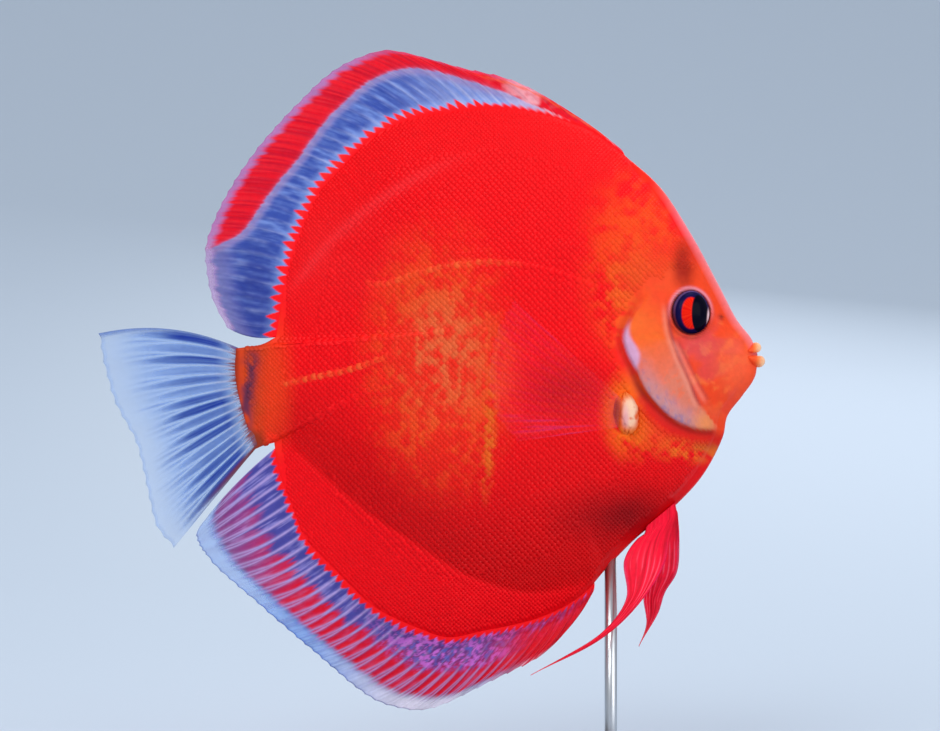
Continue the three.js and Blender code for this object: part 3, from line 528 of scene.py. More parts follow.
# Body shape
class Skin:
    """The body as a grid: spokes from the hub to the outline, rings of places along them."""

    def __init__(self):
        runs = [Line(points).at(np.arange(steps) / steps) for points, steps in SKIN_STRETCHES]
        self.outline = np.vstack(runs)
        ahead, behind = np.roll(self.outline, -1, 0), np.roll(self.outline, 1, 0)
        along = (ahead - behind) / np.linalg.norm(ahead - behind, axis=1, keepdims=True)
        self.out = np.stack([along[:, 1], -along[:, 0]], -1)
        x, z = self.outline.T
        upper = z > UPPER_FROM
        self.edge = np.where(upper, value_at(UPPER_EDGE, x), value_at(LOWER_EDGE, x))
        shoulder = np.where(upper, value_at(UPPER_SHOULDER, x), value_at(LOWER_SHOULDER, x))
        self.rounding = self.rim_rounding(x, z, np.where(upper, FIN_FRONT_UPPER, FIN_FRONT_LOWER))
        self.rim = self.outline - self.out * self.rounding[:, None]
        spread = self.rim - HUB
        self.reach = np.linalg.norm(spread, axis=1)
        turn = np.arctan2(spread[:, 1], spread[:, 0])
        self.start = int(np.argmin(np.abs(turn)))
        self.angle = np.unwrap(np.roll(turn, -self.start))
        self.fractions = np.concatenate([np.linspace(*INNER_RINGS), np.linspace(*OUTER_RINGS)])
        f = self.fractions[:, None]
        self.x = HUB[0] + f * spread[:, 0]
        self.z = HUB[1] + f * spread[:, 1]
        reach = mix(self.soft_reach(turn), self.reach, ramp(0.72, 1, f))
        inward = np.clip((reach - f * self.reach) / np.minimum(shoulder, reach), 0, 1)
        rise = (1 - (1 - inward) ** 2) ** value_at(RISE_POWER, x)
        self.plain = mix(self.edge, np.maximum(self.edge, value_at(FLANK_WIDTH, self.x)), rise)
        self.half = self.plain + relief(self.x, self.z) * ramp(1, 0.97, f)
        steps = np.sqrt(sum(np.diff(grid, axis=0) ** 2 for grid in (self.x, self.z, self.half)))
        self.travel = np.vstack([f[0] * self.reach, f[0] * self.reach + np.cumsum(steps, 0)])

    def rim_rounding(self, x, z, fin_front):
        """How far the rim bulges past its last ring: only where no fin stands on it."""
        free = ramp(fin_front - 2, fin_front + 2, x) + ramp(FIN_REAR + 1, FIN_REAR - 1, x)
        (front, _), _, (rear, _) = TAIL_TOP_LINE
        toward_fin = 0.5 * np.clip((x - rear) / (front - rear), 0, 1)
        free = np.where((x < front) & (z > 0), free * toward_fin, free)
        on_root = (x < TAIL_ROOT["x"]) & (z < TAIL_ROOT["high"]) & (z > TAIL_ROOT["low"])
        return np.where(on_root, 0, free * EDGE_ROUNDING * self.edge)

    def soft_reach(self, turn):
        """The distance from hub to rim with its corners evened out, so that no crease runs from them."""
        apart = np.angle(np.exp(1j * (turn[:, None] - turn[None, :])))
        spacing = np.abs(np.angle(np.exp(1j * (np.roll(turn, -1) - np.roll(turn, 1)))))
        weight = bell(apart, CREASE_SPREAD) * spacing
        return (weight @ self.reach**-6 / weight.sum(1)) ** (-1 / 6)

    def spokes_by(self, x, z):
        """The spokes beside a place, how far it lies between them, and its share of the way to the rim."""
        angle = np.arctan2(z - HUB[1], x - HUB[0])
        angle = self.angle[0] + (angle - self.angle[0]) % (2 * np.pi)
        count = len(self.reach)
        spoke = np.interp(angle, np.append(self.angle, self.angle[0] + 2 * np.pi), np.arange(count + 1))
        low = np.floor(spoke).astype(int)
        a, b = (low + self.start) % count, (low + 1 + self.start) % count
        between = spoke - low
        return a, b, between, np.hypot(x - HUB[0], z - HUB[1]) / mix(self.reach[a], self.reach[b], between)

    def sample(self, grid, x, z):
        """A grid's value at any place inside the outline."""
        a, b, between, fraction = self.spokes_by(x, z)
        fraction = np.clip(fraction, self.fractions[0], 1)
        ring = np.interp(fraction, self.fractions, np.arange(len(self.fractions)))
        r = np.minimum(np.floor(ring).astype(int), len(self.fractions) - 2)
        inner = mix(grid[r, a], grid[r, b], between)
        return mix(inner, mix(grid[r + 1, a], grid[r + 1, b], between), ring - r)

    def half_at(self, x, z):
        return self.sample(self.half, x, z)

    def inside(self, x, z):
        """How far inside the outline a place lies, as a share of the way from the rim to the hub."""
        return 1 - self.spokes_by(x, z)[3]


def eye_radius(x, z):
    """Distance from the eye's centre, as a share of the eye's own size."""
    return np.hypot((x - EYE_PLACE[0]) / EYE_SIZE[0], (z - EYE_PLACE[1]) / EYE_SIZE[2])


def relief(x, z):
    """Millimetres that the skin stands out from or sinks into the plain flank."""
    along, gap = Line(GILL_EDGE).measure(x, z)
    ends = fade(along, 0.25, 0.9)
    cover = ramp(-0.25, 0.35, gap) * (0.35 + 0.65 * ramp(9, 0.5, gap)) * ramp(11, 7, gap)
    raised = ends * (0.95 * cover - 0.45 * bell(gap + 0.9, 0.8) * (gap < 0.2))
    raised += 0.35 * bell(along - 0.3, 0.12) * ramp(-0.3, 0.4, gap) * ramp(3.2, 1.6, gap)
    for line, ridge, groove in ((CHEEK_LINE, 0.34, 0.42), (CHEEK_INNER_LINE, 0.12, 0.26)):
        along, gap = Line(line).measure(x, z)
        ends = fade(along, 0.12, 0.9)
        raised += ends * (ridge * bell(gap + 0.55, 0.7) - groove * bell(gap - 0.35, 0.45))
    radius = eye_radius(x, z)
    raised += 0.5 * bell(radius - 1.1, 0.09) - 2.6 * ramp(1.02, 0.9, radius)
    hole = np.hypot(x - NOSTRIL[0], z - NOSTRIL[1])
    raised += 0.22 * bell(hole - 1, 0.4) - 0.9 * bell(hole, 0.55)
    along, gap = Line(MOUTH_LINE).measure(x, z)
    raised -= 0.4 * bell(gap, 0.4) * ramp(0.2, 0.8, along)
    raised += 0.4 * (bell(gap - 1.6, 1) + bell(gap + 1.8, 1.2)) * ramp(0.1, 0.6, along)
    for line, depth in ((UPPER_CREASE, 0.1), (LOWER_CREASE, 0.09)):
        along, gap = Line(line).measure(x, z)
        raised -= depth * bell(gap, 1) * fade(along, 0.1, 0.8)
    for line in (LATERAL_UPPER, LATERAL_LOWER):
        along, gap = Line(line).measure(x, z)
        raised += 0.08 * bell(gap, 0.5) * fade(along, 0.05, 0.95)
    raised += 0.35 * patch(x, z, (54.5, 3), (6.5, 6), 0.8)
    raised += 0.12 * patch(x, z, (54, 0), (9, 14), 0.5) * (rough_noise(x, z, 1.8, 22) - 0.5)
    return raised + 0.1 * (rough_noise(x, z, 7, 20) - 0.5)


# Markings, painted shade and painted highlights shared by skin and scales
def paint_flank(tint, x, z):
    """Reds of back, flank and belly, darker below as painted shade; the mottled patch and its drip; a painted
    highlight on the upper crease; painted shadows under the pectoral fin and over the belly.
    """
    cloud = rough_noise(x, z, 9, 40)
    fleck = rough_noise(x * 1.7, z, 1.9, 30)
    # Painted shade: the body is painted darker towards the bottom, as if lit from above.
    tint.add((212, 0, 5), ramp(4, -40, z) * 0.75)
    _, gap = Line(LOWER_CREASE).measure(x, z)
    tint.add((254, 4, 18), 0.85 * ramp(0.4, -1.2, gap) * ramp(34, 16, x))
    tint.add((190, 0, 4), 0.45 * ramp(-0.5, 2.5, gap) * ramp(20, 4, gap) * ramp(36, 30, x))
    # Painted highlight along the upper crease.
    along, gap = Line(UPPER_CREASE).measure(x, z)
    tint.add((255, 60, 66), 0.3 * bell(gap, 1.5) * fade(along, 0.15, 0.6))
    tint.add((255, 52, 52), 0.4 * patch(x, z, (-36, 26), (14, 10), 0.9) * cloud)
    # Painted shadow on the flank under the pectoral fin.
    tint.add((160, 0, 6), 0.45 * patch(x, z, (21, -4.5), (9, 6), 0.8))
    zone = patch(x, z, (-9.5, 2), (14, 25), 0.6)
    tint.add((244, 62, 26), 0.45 * zone)
    tint.add((248, 92, 30), 0.65 * zone * ramp(0.42, 0.6, 0.55 * fleck + 0.45 * cloud))
    core = patch(x, z, (-8.5, 4), (9, 12), 0.7) * ramp(0.36, 0.62, 0.4 * cloud + 0.6 * fleck)
    tint.add((226, 112, 66), 0.55 * core)
    drip = patch(x, z, (2.2 + 0.04 * (z + 16), -16), (1.5, 12), 0.5) * ramp(0.3, 0.55, fleck)
    tint.add((232, 104, 26), 0.8 * drip)
    tint.add((92, 0, 8), 0.75 * patch(x, z, (34, -34.5), (13, 5.5), 0.9) * (0.4 + 0.7 * cloud))


def paint_head(tint, x, z):
    """Orange nape and throat, mottled cheeks, the blotch over the eye and the pale rim of the forehead."""
    cloud = rough_noise(x, z, 6, 42)
    fleck = rough_noise(x, z, 2.2, 32)
    nape = patch(x, z, (38, 25), (11, 19), 0.6) * ramp(0.3, 0.6, 0.5 * cloud + 0.5 * fleck)
    tint.add((252, 76, 18), 0.9 * nape)
    tint.add((255, 112, 30), 0.6 * patch(x, z, (35, 15), (5, 9), 0.8) * ramp(0.4, 0.6, fleck))
    by_pad = patch(x, z, (36, -10.5), (5.6, 8.6), 0.6) * ramp(0.34, 0.54, 0.4 * cloud + 0.6 * fleck)
    tint.add((248, 120, 16), 0.85 * by_pad)
    face = ramp(31, 41, x + 0.12 * z) * ramp(36, 22, z) * ramp(-19, -14, z)
    tint.add((240, 72, 26), 0.85 * face)
    cheek = patch(x, z, (55, 2), (9, 11), 0.5)
    tint.add((222, 66, 62), 0.75 * cheek * ramp(0.42, 0.62, cloud))
    tint.add((250, 116, 50), 0.55 * cheek * ramp(0.5, 0.7, fleck))
    tint.add((196, 74, 96), 0.45 * patch(x, z, (51, 5), (5, 3.4), 0.8) * fleck)
    tint.add((140, 0, 0), patch(x, z, (48.4, 24.6), (2.2, 4.8), 0.95) * (0.6 + 0.5 * fleck))
    tint.add((248, 100, 60), 0.6 * patch(x, z, (61, 1.5), (4.4, 6), 0.8))
    tint.add((238, 116, 30), 0.8 * patch(x, z, (52, -18.6), (9, 3), 0.6) * ramp(0.3, 0.6, fleck))
    tint.add((140, 72, 34), 0.5 * patch(x, z, (55.5, -17.6), (4.4, 1.6), 0.8))
    _, gap = Line(BACK_LINE).measure(x, z)
    tint.add((248, 150, 164), 0.65 * ramp(1.9, 0.1, np.abs(gap)) * ramp(40, 50, x))
    # Painted shade in the mouth's groove and in the nostril's hollow.
    along, gap = Line(MOUTH_LINE).measure(x, z)
    tint.add((140, 26, 16), 0.6 * bell(gap, 0.35) * ramp(0.3, 0.8, along))
    tint.add((110, 26, 20), 0.8 * bell(np.hypot(x - NOSTRIL[0], z - NOSTRIL[1]), 0.6))


def paint_gill_cover(tint, x, z):
    """Orange top, lilac-grey lower half, pale flap, ridge lines with painted shade in their grooves and
    painted highlights along them, and painted shadows under the cover's edges.
    """
    fleck = rough_noise(x, z, 1.1, 34)
    along, gap = Line(GILL_EDGE).measure(x, z)
    _, inner_gap = Line(CHEEK_LINE).measure(x, z)
    plate = ramp(-0.1, 0.4, gap) * ramp(0.6, -0.4, inner_gap) * ramp(1, 0.93, along)
    plate = plate * (gap < 14) * ramp(0, 0.22, along)
    low = ramp(0.3, 0.62, along)
    streak = rough_noise(along * 60, gap * 0.9, 1.4, 38)
    tint.add((246, 104, 34), 0.85 * plate * (1 - low) * (0.7 + 0.5 * streak))
    tint.add((214, 122, 98), 0.85 * plate * low)
    tint.add((238, 104, 66), 0.6 * plate * low * ramp(0.5, 0.65, streak))
    grey = plate * low * ramp(6, 0.8, gap) * ramp(0.93, 0.8, along)
    tint.add((178, 138, 150), 0.85 * grey * (0.4 + 0.9 * streak))
    tint.add((120, 104, 150), 0.45 * grey * ramp(0.54, 0.68, fleck))
    tint.add((240, 146, 84), 0.75 * plate * ramp(0.8, 0.93, along) * ramp(6, 2, gap))
    width = 2.6 * ramp(12, 4.6, z) * ramp(-1, 4.4, z)
    flap = ramp(-0.4, 0.1, gap) * ramp(0.6, -0.6, gap - width)
    flap = flap * ramp(13, 10, z) * ramp(-1, 1.5, z) * (along < 0.5)
    tint.add((208, 160, 196), 0.9 * flap)
    # Painted shadow under the cover's free edge, and a dark red painted shadow band below its lower edge.
    ends = ramp(0.05, 0.2, along) * ramp(1, 0.95, along)
    tint.add((110, 0, 8), 0.85 * ends * bell(gap + 0.9, 1) * (0.3 + 0.7 * low))
    tint.add((216, 4, 6), 0.9 * ramp(0.5, 0.65, along) * bell(gap + 2.2, 1.7))
    # Painted shade in the groove beside each ridge line and a painted highlight along the ridge.
    for line, tone, shade in ((CHEEK_LINE, (132, 54, 66), 0.65), (CHEEK_INNER_LINE, (160, 60, 60), 0.5)):
        along, gap = Line(line).measure(x, z)
        ends = fade(along, 0.15, 0.85)
        tint.add(tone, shade * ends * bell(gap - 0.35, 0.4))
        tint.add((240, 150, 130), 0.4 * ends * bell(gap + 0.6, 0.6))


def paint_tail_base(tint, x, z):
    fleck = rough_noise(x, z * 0.6, 1.4, 36)
    tint.add((240, 62, 18), 0.8 * patch(x, z, (-51, -3), (5.5, 15), 0.6))
    tint.add((200, 64, 20), 0.9 * ramp(-48.5, -55.5, x + 3.5 * (fleck - 0.5)))
    band = bell(x + 55.4 - 0.14 * (z + 6) + 1.8 * (fleck - 0.5), 1.7) * ramp(10, 5, np.abs(z + 6.5) - 3)
    tint.add((70, 36, 70), 0.9 * band * ramp(0.15, 0.5, fleck))
    tint.add((120, 44, 20), 0.8 * patch(x, z, (-54, -17.2), (2.6, 2.6), 0.6))
    tint.add((110, 26, 12), 0.6 * ramp(-57.2, -58.4, x))


def markings_and_painted_light(x, z):
    """The body's colour at each place, painted shade and painted highlights included."""
    fine = rough_noise(x, z, 1.3, 50)
    tint = Tint((252, 6, 16), x)
    paint_flank(tint, x, z)
    paint_head(tint, x, z)
    paint_gill_cover(tint, x, z)
    paint_tail_base(tint, x, z)
    for line, pitch, ends_at in ((LATERAL_UPPER, 25, 0.5), (LATERAL_LOWER, 13, 0.8)):
        along, gap = Line(line).measure(x, z)
        dots = bell(gap, 0.45) * ramp(0.3, 0.8, 0.5 + 0.5 * np.cos(along * 2 * np.pi * pitch))
        shown = ramp(0, 0.1, along) * ramp(ends_at + 0.2, ends_at, along)
        tint.add((244, 110, 50), 0.5 * (0.25 * bell(gap, 0.5) + dots) * shown)
    # Round the eye: a pale rim on the socket's top edge, a painted shadow on the ring below, and painted
    # shade in the socket round the eyeball.
    turn = (z - EYE_PLACE[1]) / EYE_SIZE[2]
    ring = bell(eye_radius(x, z) - 1.1, 0.08)
    tint.add((226, 150, 170), 0.75 * ring * ramp(-0.6, 0.8, turn))
    tint.add((150, 30, 20), 0.5 * ring * ramp(0.2, -0.8, turn))
    tint.add((60, 14, 26), 0.85 * ramp(1.06, 0.98, eye_radius(x, z)))
    return tint.values * (0.95 + 0.1 * fine[..., None])


def make_skin(skin, material):
    flanks = [np.stack([skin.x, side * skin.half, skin.z], -1) for side in (-1, 1)]
    edge = []
    for s in np.linspace(-1, 1, EDGE_STEPS)[1:-1]:
        place = skin.rim + skin.out * (skin.rounding * np.sqrt(1 - s * s))[:, None]
        edge.append(np.stack([place[:, 0], s * skin.half[-1], place[:, 1]], -1))
    body = np.concatenate([flanks[0], np.array(edge), flanks[1][::-1]])
    hubs = [[HUB[0], side * skin.half[0].mean(), HUB[1]] for side in (-1, 1)]
    places = np.concatenate([body.reshape(-1, 3), hubs])
    make_piece("skin", places, ring_faces(*body.shape[:2], "poles", flip=True), material,
               with_alpha(markings_and_painted_light(places[:, 0], places[:, 2])),
               ["head", "torso", "caudal_peduncle", "gill_cover_right", "gill_cover_left"])


# Scales
def scale_template():
    """One scale as a low shield: a middle, a rim of eight places and a skirt below its rear half."""
    rim = np.array(SCALE_RIM)
    skirt = rim[2:7] - [0, 0, SCALE_SKIRT_DROP]
    faces = [(0, 1 + k, 1 + (k + 1) % 8) for k in range(8)]
    for k in range(4):
        faces += [(3 + k, 9 + k, 10 + k), (3 + k, 10 + k, 4 + k)]
    return np.vstack([[SCALE_MIDDLE], rim, skirt]), np.array(faces)


def scale_places(skin, pitch, low, high):
    """Roots of the scales in staggered rows that follow the body, between two depths inside its outline."""
    draws = np.random.default_rng(SEED)
    roots = []
    for k, z in enumerate(np.arange(-70, 70, pitch * SCALE_ROW_GAP)):
        x = np.arange(-62, 64, pitch) + (k % 2) * pitch / 2
        x = x + draws.normal(0, 0.05 * pitch, len(x))
        height = z + draws.normal(0, 0.04 * pitch, len(x)) + 1.2 * np.sin((x + 10) / 32)
        depth = skin.inside(x, height)
        keep = (depth >= np.maximum(low, TAIL_RIM_FREE * (x < -46))) & (depth < high)
        roots.append(np.stack([x[keep], height[keep]], -1))
    x, z = np.concatenate(roots).T
    _, gap = Line(GILL_EDGE).measure(x, z)
    by_cover = (gap > -2.6) & (gap < 30)
    on_face = by_cover & (x > BARE_FACE["rear"]) & (z < BARE_FACE["top"]) & (z > BARE_FACE["low"])
    on_pad = patch(x, z, PAD_PLACE, (3.8, 5.6), 0.05) > 0.5
    keep = ~on_face & ~on_pad & (x > SCALED_FROM) & (x < SCALED_TO) & (eye_radius(x, z) > 1.6)
    return x[keep], z[keep]


def make_scales(skin, material, side, name, pitch, low, high):
    x0, z0 = [row[:, None] for row in scale_places(skin, pitch, low, high)]
    shape, faces = scale_template()
    count, corners = len(x0), len(shape)
    tilt = np.arctan2(z0 - 4, 90) * 0.6
    a, b = shape[:, 0] * pitch * SCALE_LENGTH, shape[:, 1] * pitch * SCALE_BREADTH
    x = x0 + a * np.cos(tilt) - b * np.sin(tilt)
    z = z0 + a * np.sin(tilt) + b * np.cos(tilt)
    step = 0.4
    slope_x = (skin.half_at(x0 + step, z0) - skin.half_at(x0 - step, z0)) / (2 * step)
    slope_z = (skin.half_at(x0, z0 + step) - skin.half_at(x0, z0 - step)) / (2 * step)
    half = skin.half_at(x0, z0) + slope_x * (x - x0) + slope_z * (z - z0)
    half = mix(half, skin.half_at(x, z), 0.5)
    size = 1 / np.sqrt(1 + slope_x**2 + slope_z**2)
    lift = shape[:, 2] * pitch / 1.4
    places = np.stack([x - slope_x * size * lift, side * (half + size * lift), z - slope_z * size * lift], -1)
    vary = np.random.default_rng(SEED + 5).normal(1, 0.02, (count, 1, 1))
    own = markings_and_painted_light(x0[:, 0], z0[:, 0])[:, None, :] * vary
    under = markings_and_painted_light(x.ravel(), z.ravel()).reshape(count, corners, 3)
    # Painted shade: each scale's rear edge and the skirt under it are darkened slightly.
    shade = 1 - 0.03 * ramp(-0.3, -0.62, shape[:, 0]) - 0.02 * (np.arange(corners) > 8)
    colour = np.clip(mix(under, own, 0.6) * shade[:, None], 0, 1)
    every = (faces[None] + (np.arange(count) * corners)[:, None, None]).reshape(-1, 3)
    if side > 0:
        every = every[:, ::-1]
    made = make_piece(name, places.reshape(-1, 3), every.tolist(), material, with_alpha(colour))
    patches = unwrap_place(skin, x0, z0, side) + shape[None, :, :2] * UNWRAP_PATCH
    uv = patches.reshape(-1, 2)[every.ravel()]
    layer = made.data.uv_layers.new(name="OFBake")
    layer.data.foreach_set("uv", np.ascontiguousarray(uv, np.float32).ravel())


def unwrap_place(skin, x, z, side):
    """The place on a flattened skin, measured over its surface from the hub, one flank beside the other."""
    travel = skin.sample(skin.travel, x, z)
    angle = np.arctan2(z - HUB[1], x - HUB[0])
    u = 0.25 + 0.5 * (side > 0) + UNWRAP_WIDE * travel * np.cos(angle)
    v = 0.5 + UNWRAP_HIGH * travel * np.sin(angle)
    return np.stack([u, v], -1)


# Fins
def ray_lobes(phase, t, split):
    """How much of a ray's ridge stands between two rays; soft rays part into two toward the tip."""
    away = np.minimum(phase, 1 - phase)
    apart = split * ramp(0.35, 0.8, t)
    return np.maximum(bell(away - apart, 0.13), bell(away + apart, 0.13))


class Fin:
    """A fin of rays between a base line and a margin, as a grid of places with the ray phase at each."""

    def __init__(self, base, margin, rays, per_ray, rows, bow, scallop, bend, seed, sink=0.0, guides=()):
        inner = [(base.fraction_near(root), margin.fraction_near(tip)) for root, tip in guides[1:-1]]
        pairs = np.array([(0, 0), *inner, (1, 1)], float)
        count = (rays - 1) * per_ray + 1
        self.rays = rays
        self.u = np.linspace(0, 1, count)[:, None]
        self.t = np.linspace(0, 1, rows)[None, :]
        ray = self.u * (rays - 1)
        self.phase = ray % 1
        draws = np.random.default_rng(SEED + seed).uniform(-1, 1, rays + 1)
        self.vary_between = draws[np.floor(ray).astype(int)]
        self.away = np.minimum(self.phase, 1 - self.phase)
        root = base.at(self.u[:, 0])
        tip = margin.at(np.interp(self.u[:, 0], pairs[:, 0], pairs[:, 1]))
        span = tip - root
        length = np.linalg.norm(span, axis=1)[:, None]
        root = root - sink * span / np.maximum(length, 1e-6)
        span = tip - root
        reach = 1 - np.minimum(0.25, np.sin(np.pi * self.away) * scallop(self.u) / length)
        self.s = self.t * reach
        swing = 2 * self.s * (1 - self.s) * bow(self.u)
        self.x = root[:, :1] + span[:, :1] * self.s - span[:, 1:] * swing
        self.z = root[:, 1:] + span[:, 1:] * self.s + span[:, :1] * swing
        self.share = self.s / reach
        self.root_gap = self.s * length - sink
        self.edge_gap = (reach - self.s) * length
        self.y = bend(self.u, self.s) * np.ones_like(self.x)

    def build(self, node, material, half, tint, alpha, slot):
        places, faces = closed_sheet(self.x, self.y, self.z, half)
        make_piece(f"{node}_skin", places, faces, material, np.tile(tint.rows(alpha), (2, 1)), [node])


def fin_half(fin, root, root_reach, ridge, split=0.18, membrane=0.16):
    """Half the fin's thickness: fleshy at the root, thin between the rays, thinner at the margin."""
    fleshy = root * (1 - ramp(0, root_reach, fin.root_gap)) ** 1.3
    thin = membrane + ridge * ray_lobes(fin.phase, fin.t, split) * ramp(0, 0.08, fin.t)
    return np.maximum(fleshy, thin) * (1 - 0.6 * ramp(0.7, 1, fin.t))


def edge_line(points, start, end):
    """The stretch of the body's edge between two places."""
    whole = Line(points)
    u = np.linspace(whole.fraction_near(start), whole.fraction_near(end), 60)
    return Line(whole.at(u))


def streaks(fin, per_ray, size, seed):
    """Uneven streaks that run along the rays."""
    return rough_noise(fin.u * fin.rays * per_ray + 0 * fin.s, fin.s * size, 1, seed)


def tooth_mask(fin, reach, per_ray, soft=0.3):
    """Points of body colour that climb outward from the root, a few to every two rays."""
    row = fin.u * (fin.rays - 1) * per_ray
    row = row + 0.3 * (noise(row, 0 * row, 1.7, 65) - 0.5)
    away = np.minimum(row % 1, 1 - row % 1)
    draws = np.random.default_rng(SEED + fin.rays).uniform(0.6, 1.25, 200)
    length = reach * draws[np.round(row).astype(int) % 200] * (1 - 2 * away) ** 0.7
    return ramp(soft, -soft, fin.root_gap - length)


def dorsal_colours(fin):
    lobes = ray_lobes(fin.phase, fin.t, 0.18)
    run = streaks(fin, 2.5, 5, 60)
    fine = 0.25 + 0.5 * streaks(fin, 5, 1.6, 62)
    soft = rough_noise(fin.x, fin.z, 4, 64)
    x, z = fin.x, fin.z
    _, gap = Line(DORSAL_BAND).measure(x, z)
    gap = gap + 1.5 * (fine - 0.5)
    front = ramp(-24, 4, x)
    tint = Tint((120, 146, 212), x)
    tint.add((176, 184, 224), 0.6 * lobes)
    deep = ramp(0.2, 2.4, gap) * ramp(1, 3.6, fin.root_gap) * (1 - 0.6 * front)
    tint.add((48, 72, 158), 0.95 * deep * ramp(0.2, 0.62, 0.45 * run + 0.55 * fine))
    tint.add((196, 196, 224), 0.55 * front * ramp(0.3, 0.7, fine))
    tint.add((226, 176, 182), 0.7 * ramp(4, 20, x))
    lobe = ramp(34, 26, z) * ramp(-44, -52, x)
    tint.add((34, 44, 128), 0.8 * patch(x, z, (-54, 15), (5.5, 15), 0.7) * (0.35 + 0.8 * fine))
    tint.add((116, 112, 172), 0.75 * lobe * ramp(8, 3, fin.edge_gap + 3 * (fine - 0.5)))
    outer = ramp(0.3, -0.3, gap)
    crimson = Tint((232, 0, 30), x)
    crimson.add((176, 0, 44), 0.5 * ramp(0.55, 0.35, fine))
    tint.add(crimson.values, outer)
    tint.add((150, 112, 160), 0.6 * bell(gap - 0.7, 0.9) * ramp(16, 0, x))
    tips = ramp(-12, 0, x) * ramp(3.6, 1.6, fin.edge_gap + 3.0 * (soft - 0.5))
    tint.add((244, 20, 36), 0.85 * tips)
    pale = ramp(0, 12, x) * ramp(0.36, 0.66, soft) * ramp(1.2, 3, fin.root_gap)
    tint.add((246, 190, 200), 0.65 * pale)
    tint.add((248, 92, 50), 0.6 * ramp(-4, 6, x) * bell(fin.edge_gap - 3.6, 0.9))
    ragged = fin.edge_gap + 3.6 * (fine - 0.5) - 0.8 * fin.away
    margin = ramp(2.6, 0.5, ragged) * (1 - 0.75 * ramp(-34, -18, x))
    tint.add((184, 116, 190), 0.85 * margin)
    teeth = tooth_mask(fin, 2.5 - 1.7 * ramp(-8, 10, x), 1.4, 0.3 + 0.5 * ramp(0, 12, x))
    tint.add((252, 4, 16), teeth)
    alpha = 0.96 - 0.36 * margin - 0.26 * lobe * ramp(7, 0, fin.edge_gap)
    return tint, np.maximum(alpha, teeth)


def anal_colours(fin):
    lobes = ray_lobes(fin.phase, fin.t, 0.15)
    run = streaks(fin, 2.5, 6, 80)
    fine = streaks(fin, 7, 3, 82)
    x, z = fin.x, fin.z
    front = ramp(-34, -8, x)
    rear = ramp(-42, -60, x)
    tint = Tint((142, 132, 200), x)
    tint.add((186, 158, 212), 0.6 * lobes)
    between = (1 - lobes) * ramp(0.25, 0.55, 0.5 * run + 0.5 * fine)
    tint.add((54, 54, 142), 0.9 * between)
    start = 0.46 - 0.14 * (1 - lobes) + 0.2 * (fine - 0.5) + 0.12 * rear + 0.06 * fin.vary_between
    crimson = ramp(start - 0.05, start + 0.08, fin.share)
    crimson = crimson * ramp(0.86, 0.76, fin.share + 0.1 * (fine - 0.5))
    tint.add((214, 2, 40), crimson * (0.3 + 0.7 * (1 - lobes)) * (1 - 0.7 * rear) * (0.75 + 0.4 * run))
    stain = front * ramp(0.52, 0.36, fin.share + 0.14 * (fine - 0.5))
    tint.add((120, 40, 110), 0.7 * stain)
    dots = rough_noise(x, z, 0.75, 90)
    tint.add((204, 104, 206), 0.95 * stain * ramp(0.5, 0.62, dots))
    tint.add((92, 96, 190), 0.8 * stain * ramp(0.42, 0.32, dots))
    red_front = ramp(-2, 14, x) * ramp(-0.05, 0.3, fin.share + 0.35 * (run - 0.4))
    tint.add((226, 4, 26), 0.95 * red_front)
    tint.add((150, 0, 20), 0.5 * ramp(2, 16, x) * ramp(0.5, 0.3, fine))
    fringe = ramp(0.76, 0.9, fin.share + 0.08 * (fine - 0.5)) * ramp(12, -12, x)
    fringe_tone = mix(rgb(112, 158, 228), rgb(228, 218, 238), ramp(-44, -16, x)[..., None])
    tint.add(fringe_tone, fringe)
    tint.add((70, 100, 196), 0.5 * fringe * ramp(0.55, 0.35, fine) * ramp(-20, -44, x))
    edge = ramp(0.45, 0.1, fin.edge_gap) * ramp(-8, -22, x)
    tint.add((46, 76, 178), 0.7 * edge)
    pale = ramp(0.8, 0.97, fin.share) * ramp(0.5, 0.65, fine) * ramp(0, 10, x)
    tint.add((250, 170, 190), 0.8 * pale)
    teeth = tooth_mask(fin, 1.5 + 0.6 * (fine - 0.5), 1.4, 0.25)
    tint.add((248, 2, 14), teeth)
    alpha = 0.96 - 0.42 * fringe * (1 - 0.7 * edge) - 0.3 * pale - 0.25 * rear * ramp(0.5, 0.9, fin.share)
    return tint, np.maximum(alpha, teeth)


def caudal_colours(fin):
    lobes = ray_lobes(fin.phase, fin.t, 0.22)
    run = streaks(fin, 2.5, 4, 100)
    fine = streaks(fin, 9, 2, 102)
    own = 0.75 + 0.35 * fin.vary_between
    dark = (1 - lobes) ** 1.3 * ramp(0.03, 0.2, fin.s) * ramp(0.9, 0.42, fin.s + 0.25 * (run - 0.5))
    dark = dark * own * (0.6 + 0.6 * fine)
    tint = Tint((122, 166, 230), fin.x)
    tint.add((22, 50, 146), 0.95 * dark)
    pale = lobes * ramp(0.3, 0.04, fin.s)
    tint.add((200, 178, 190), 0.7 * pale)
    base = ramp(0.1, 0.02, fin.s + 0.14 * (fine - 0.5))
    tint.add((136, 50, 24), 0.95 * base)
    lower = ramp(0.95, 0.985, fin.u) * ramp(0.85, 0.2, fin.s)
    tint.add((120, 46, 44), 0.9 * lower)
    upper = ramp(0.035, 0, fin.u)
    tint.add((84, 104, 170), 0.7 * upper)
    edge = ramp(0.6, 1, fin.share)
    alpha = 0.34 + 0.6 * dark + 0.3 * pale - 0.2 * edge + 0.12 * ramp(0.96, 0.995, fin.share)
    return tint, np.maximum(np.maximum(alpha, base), np.maximum(0.9 * lower, 0.6 * upper))


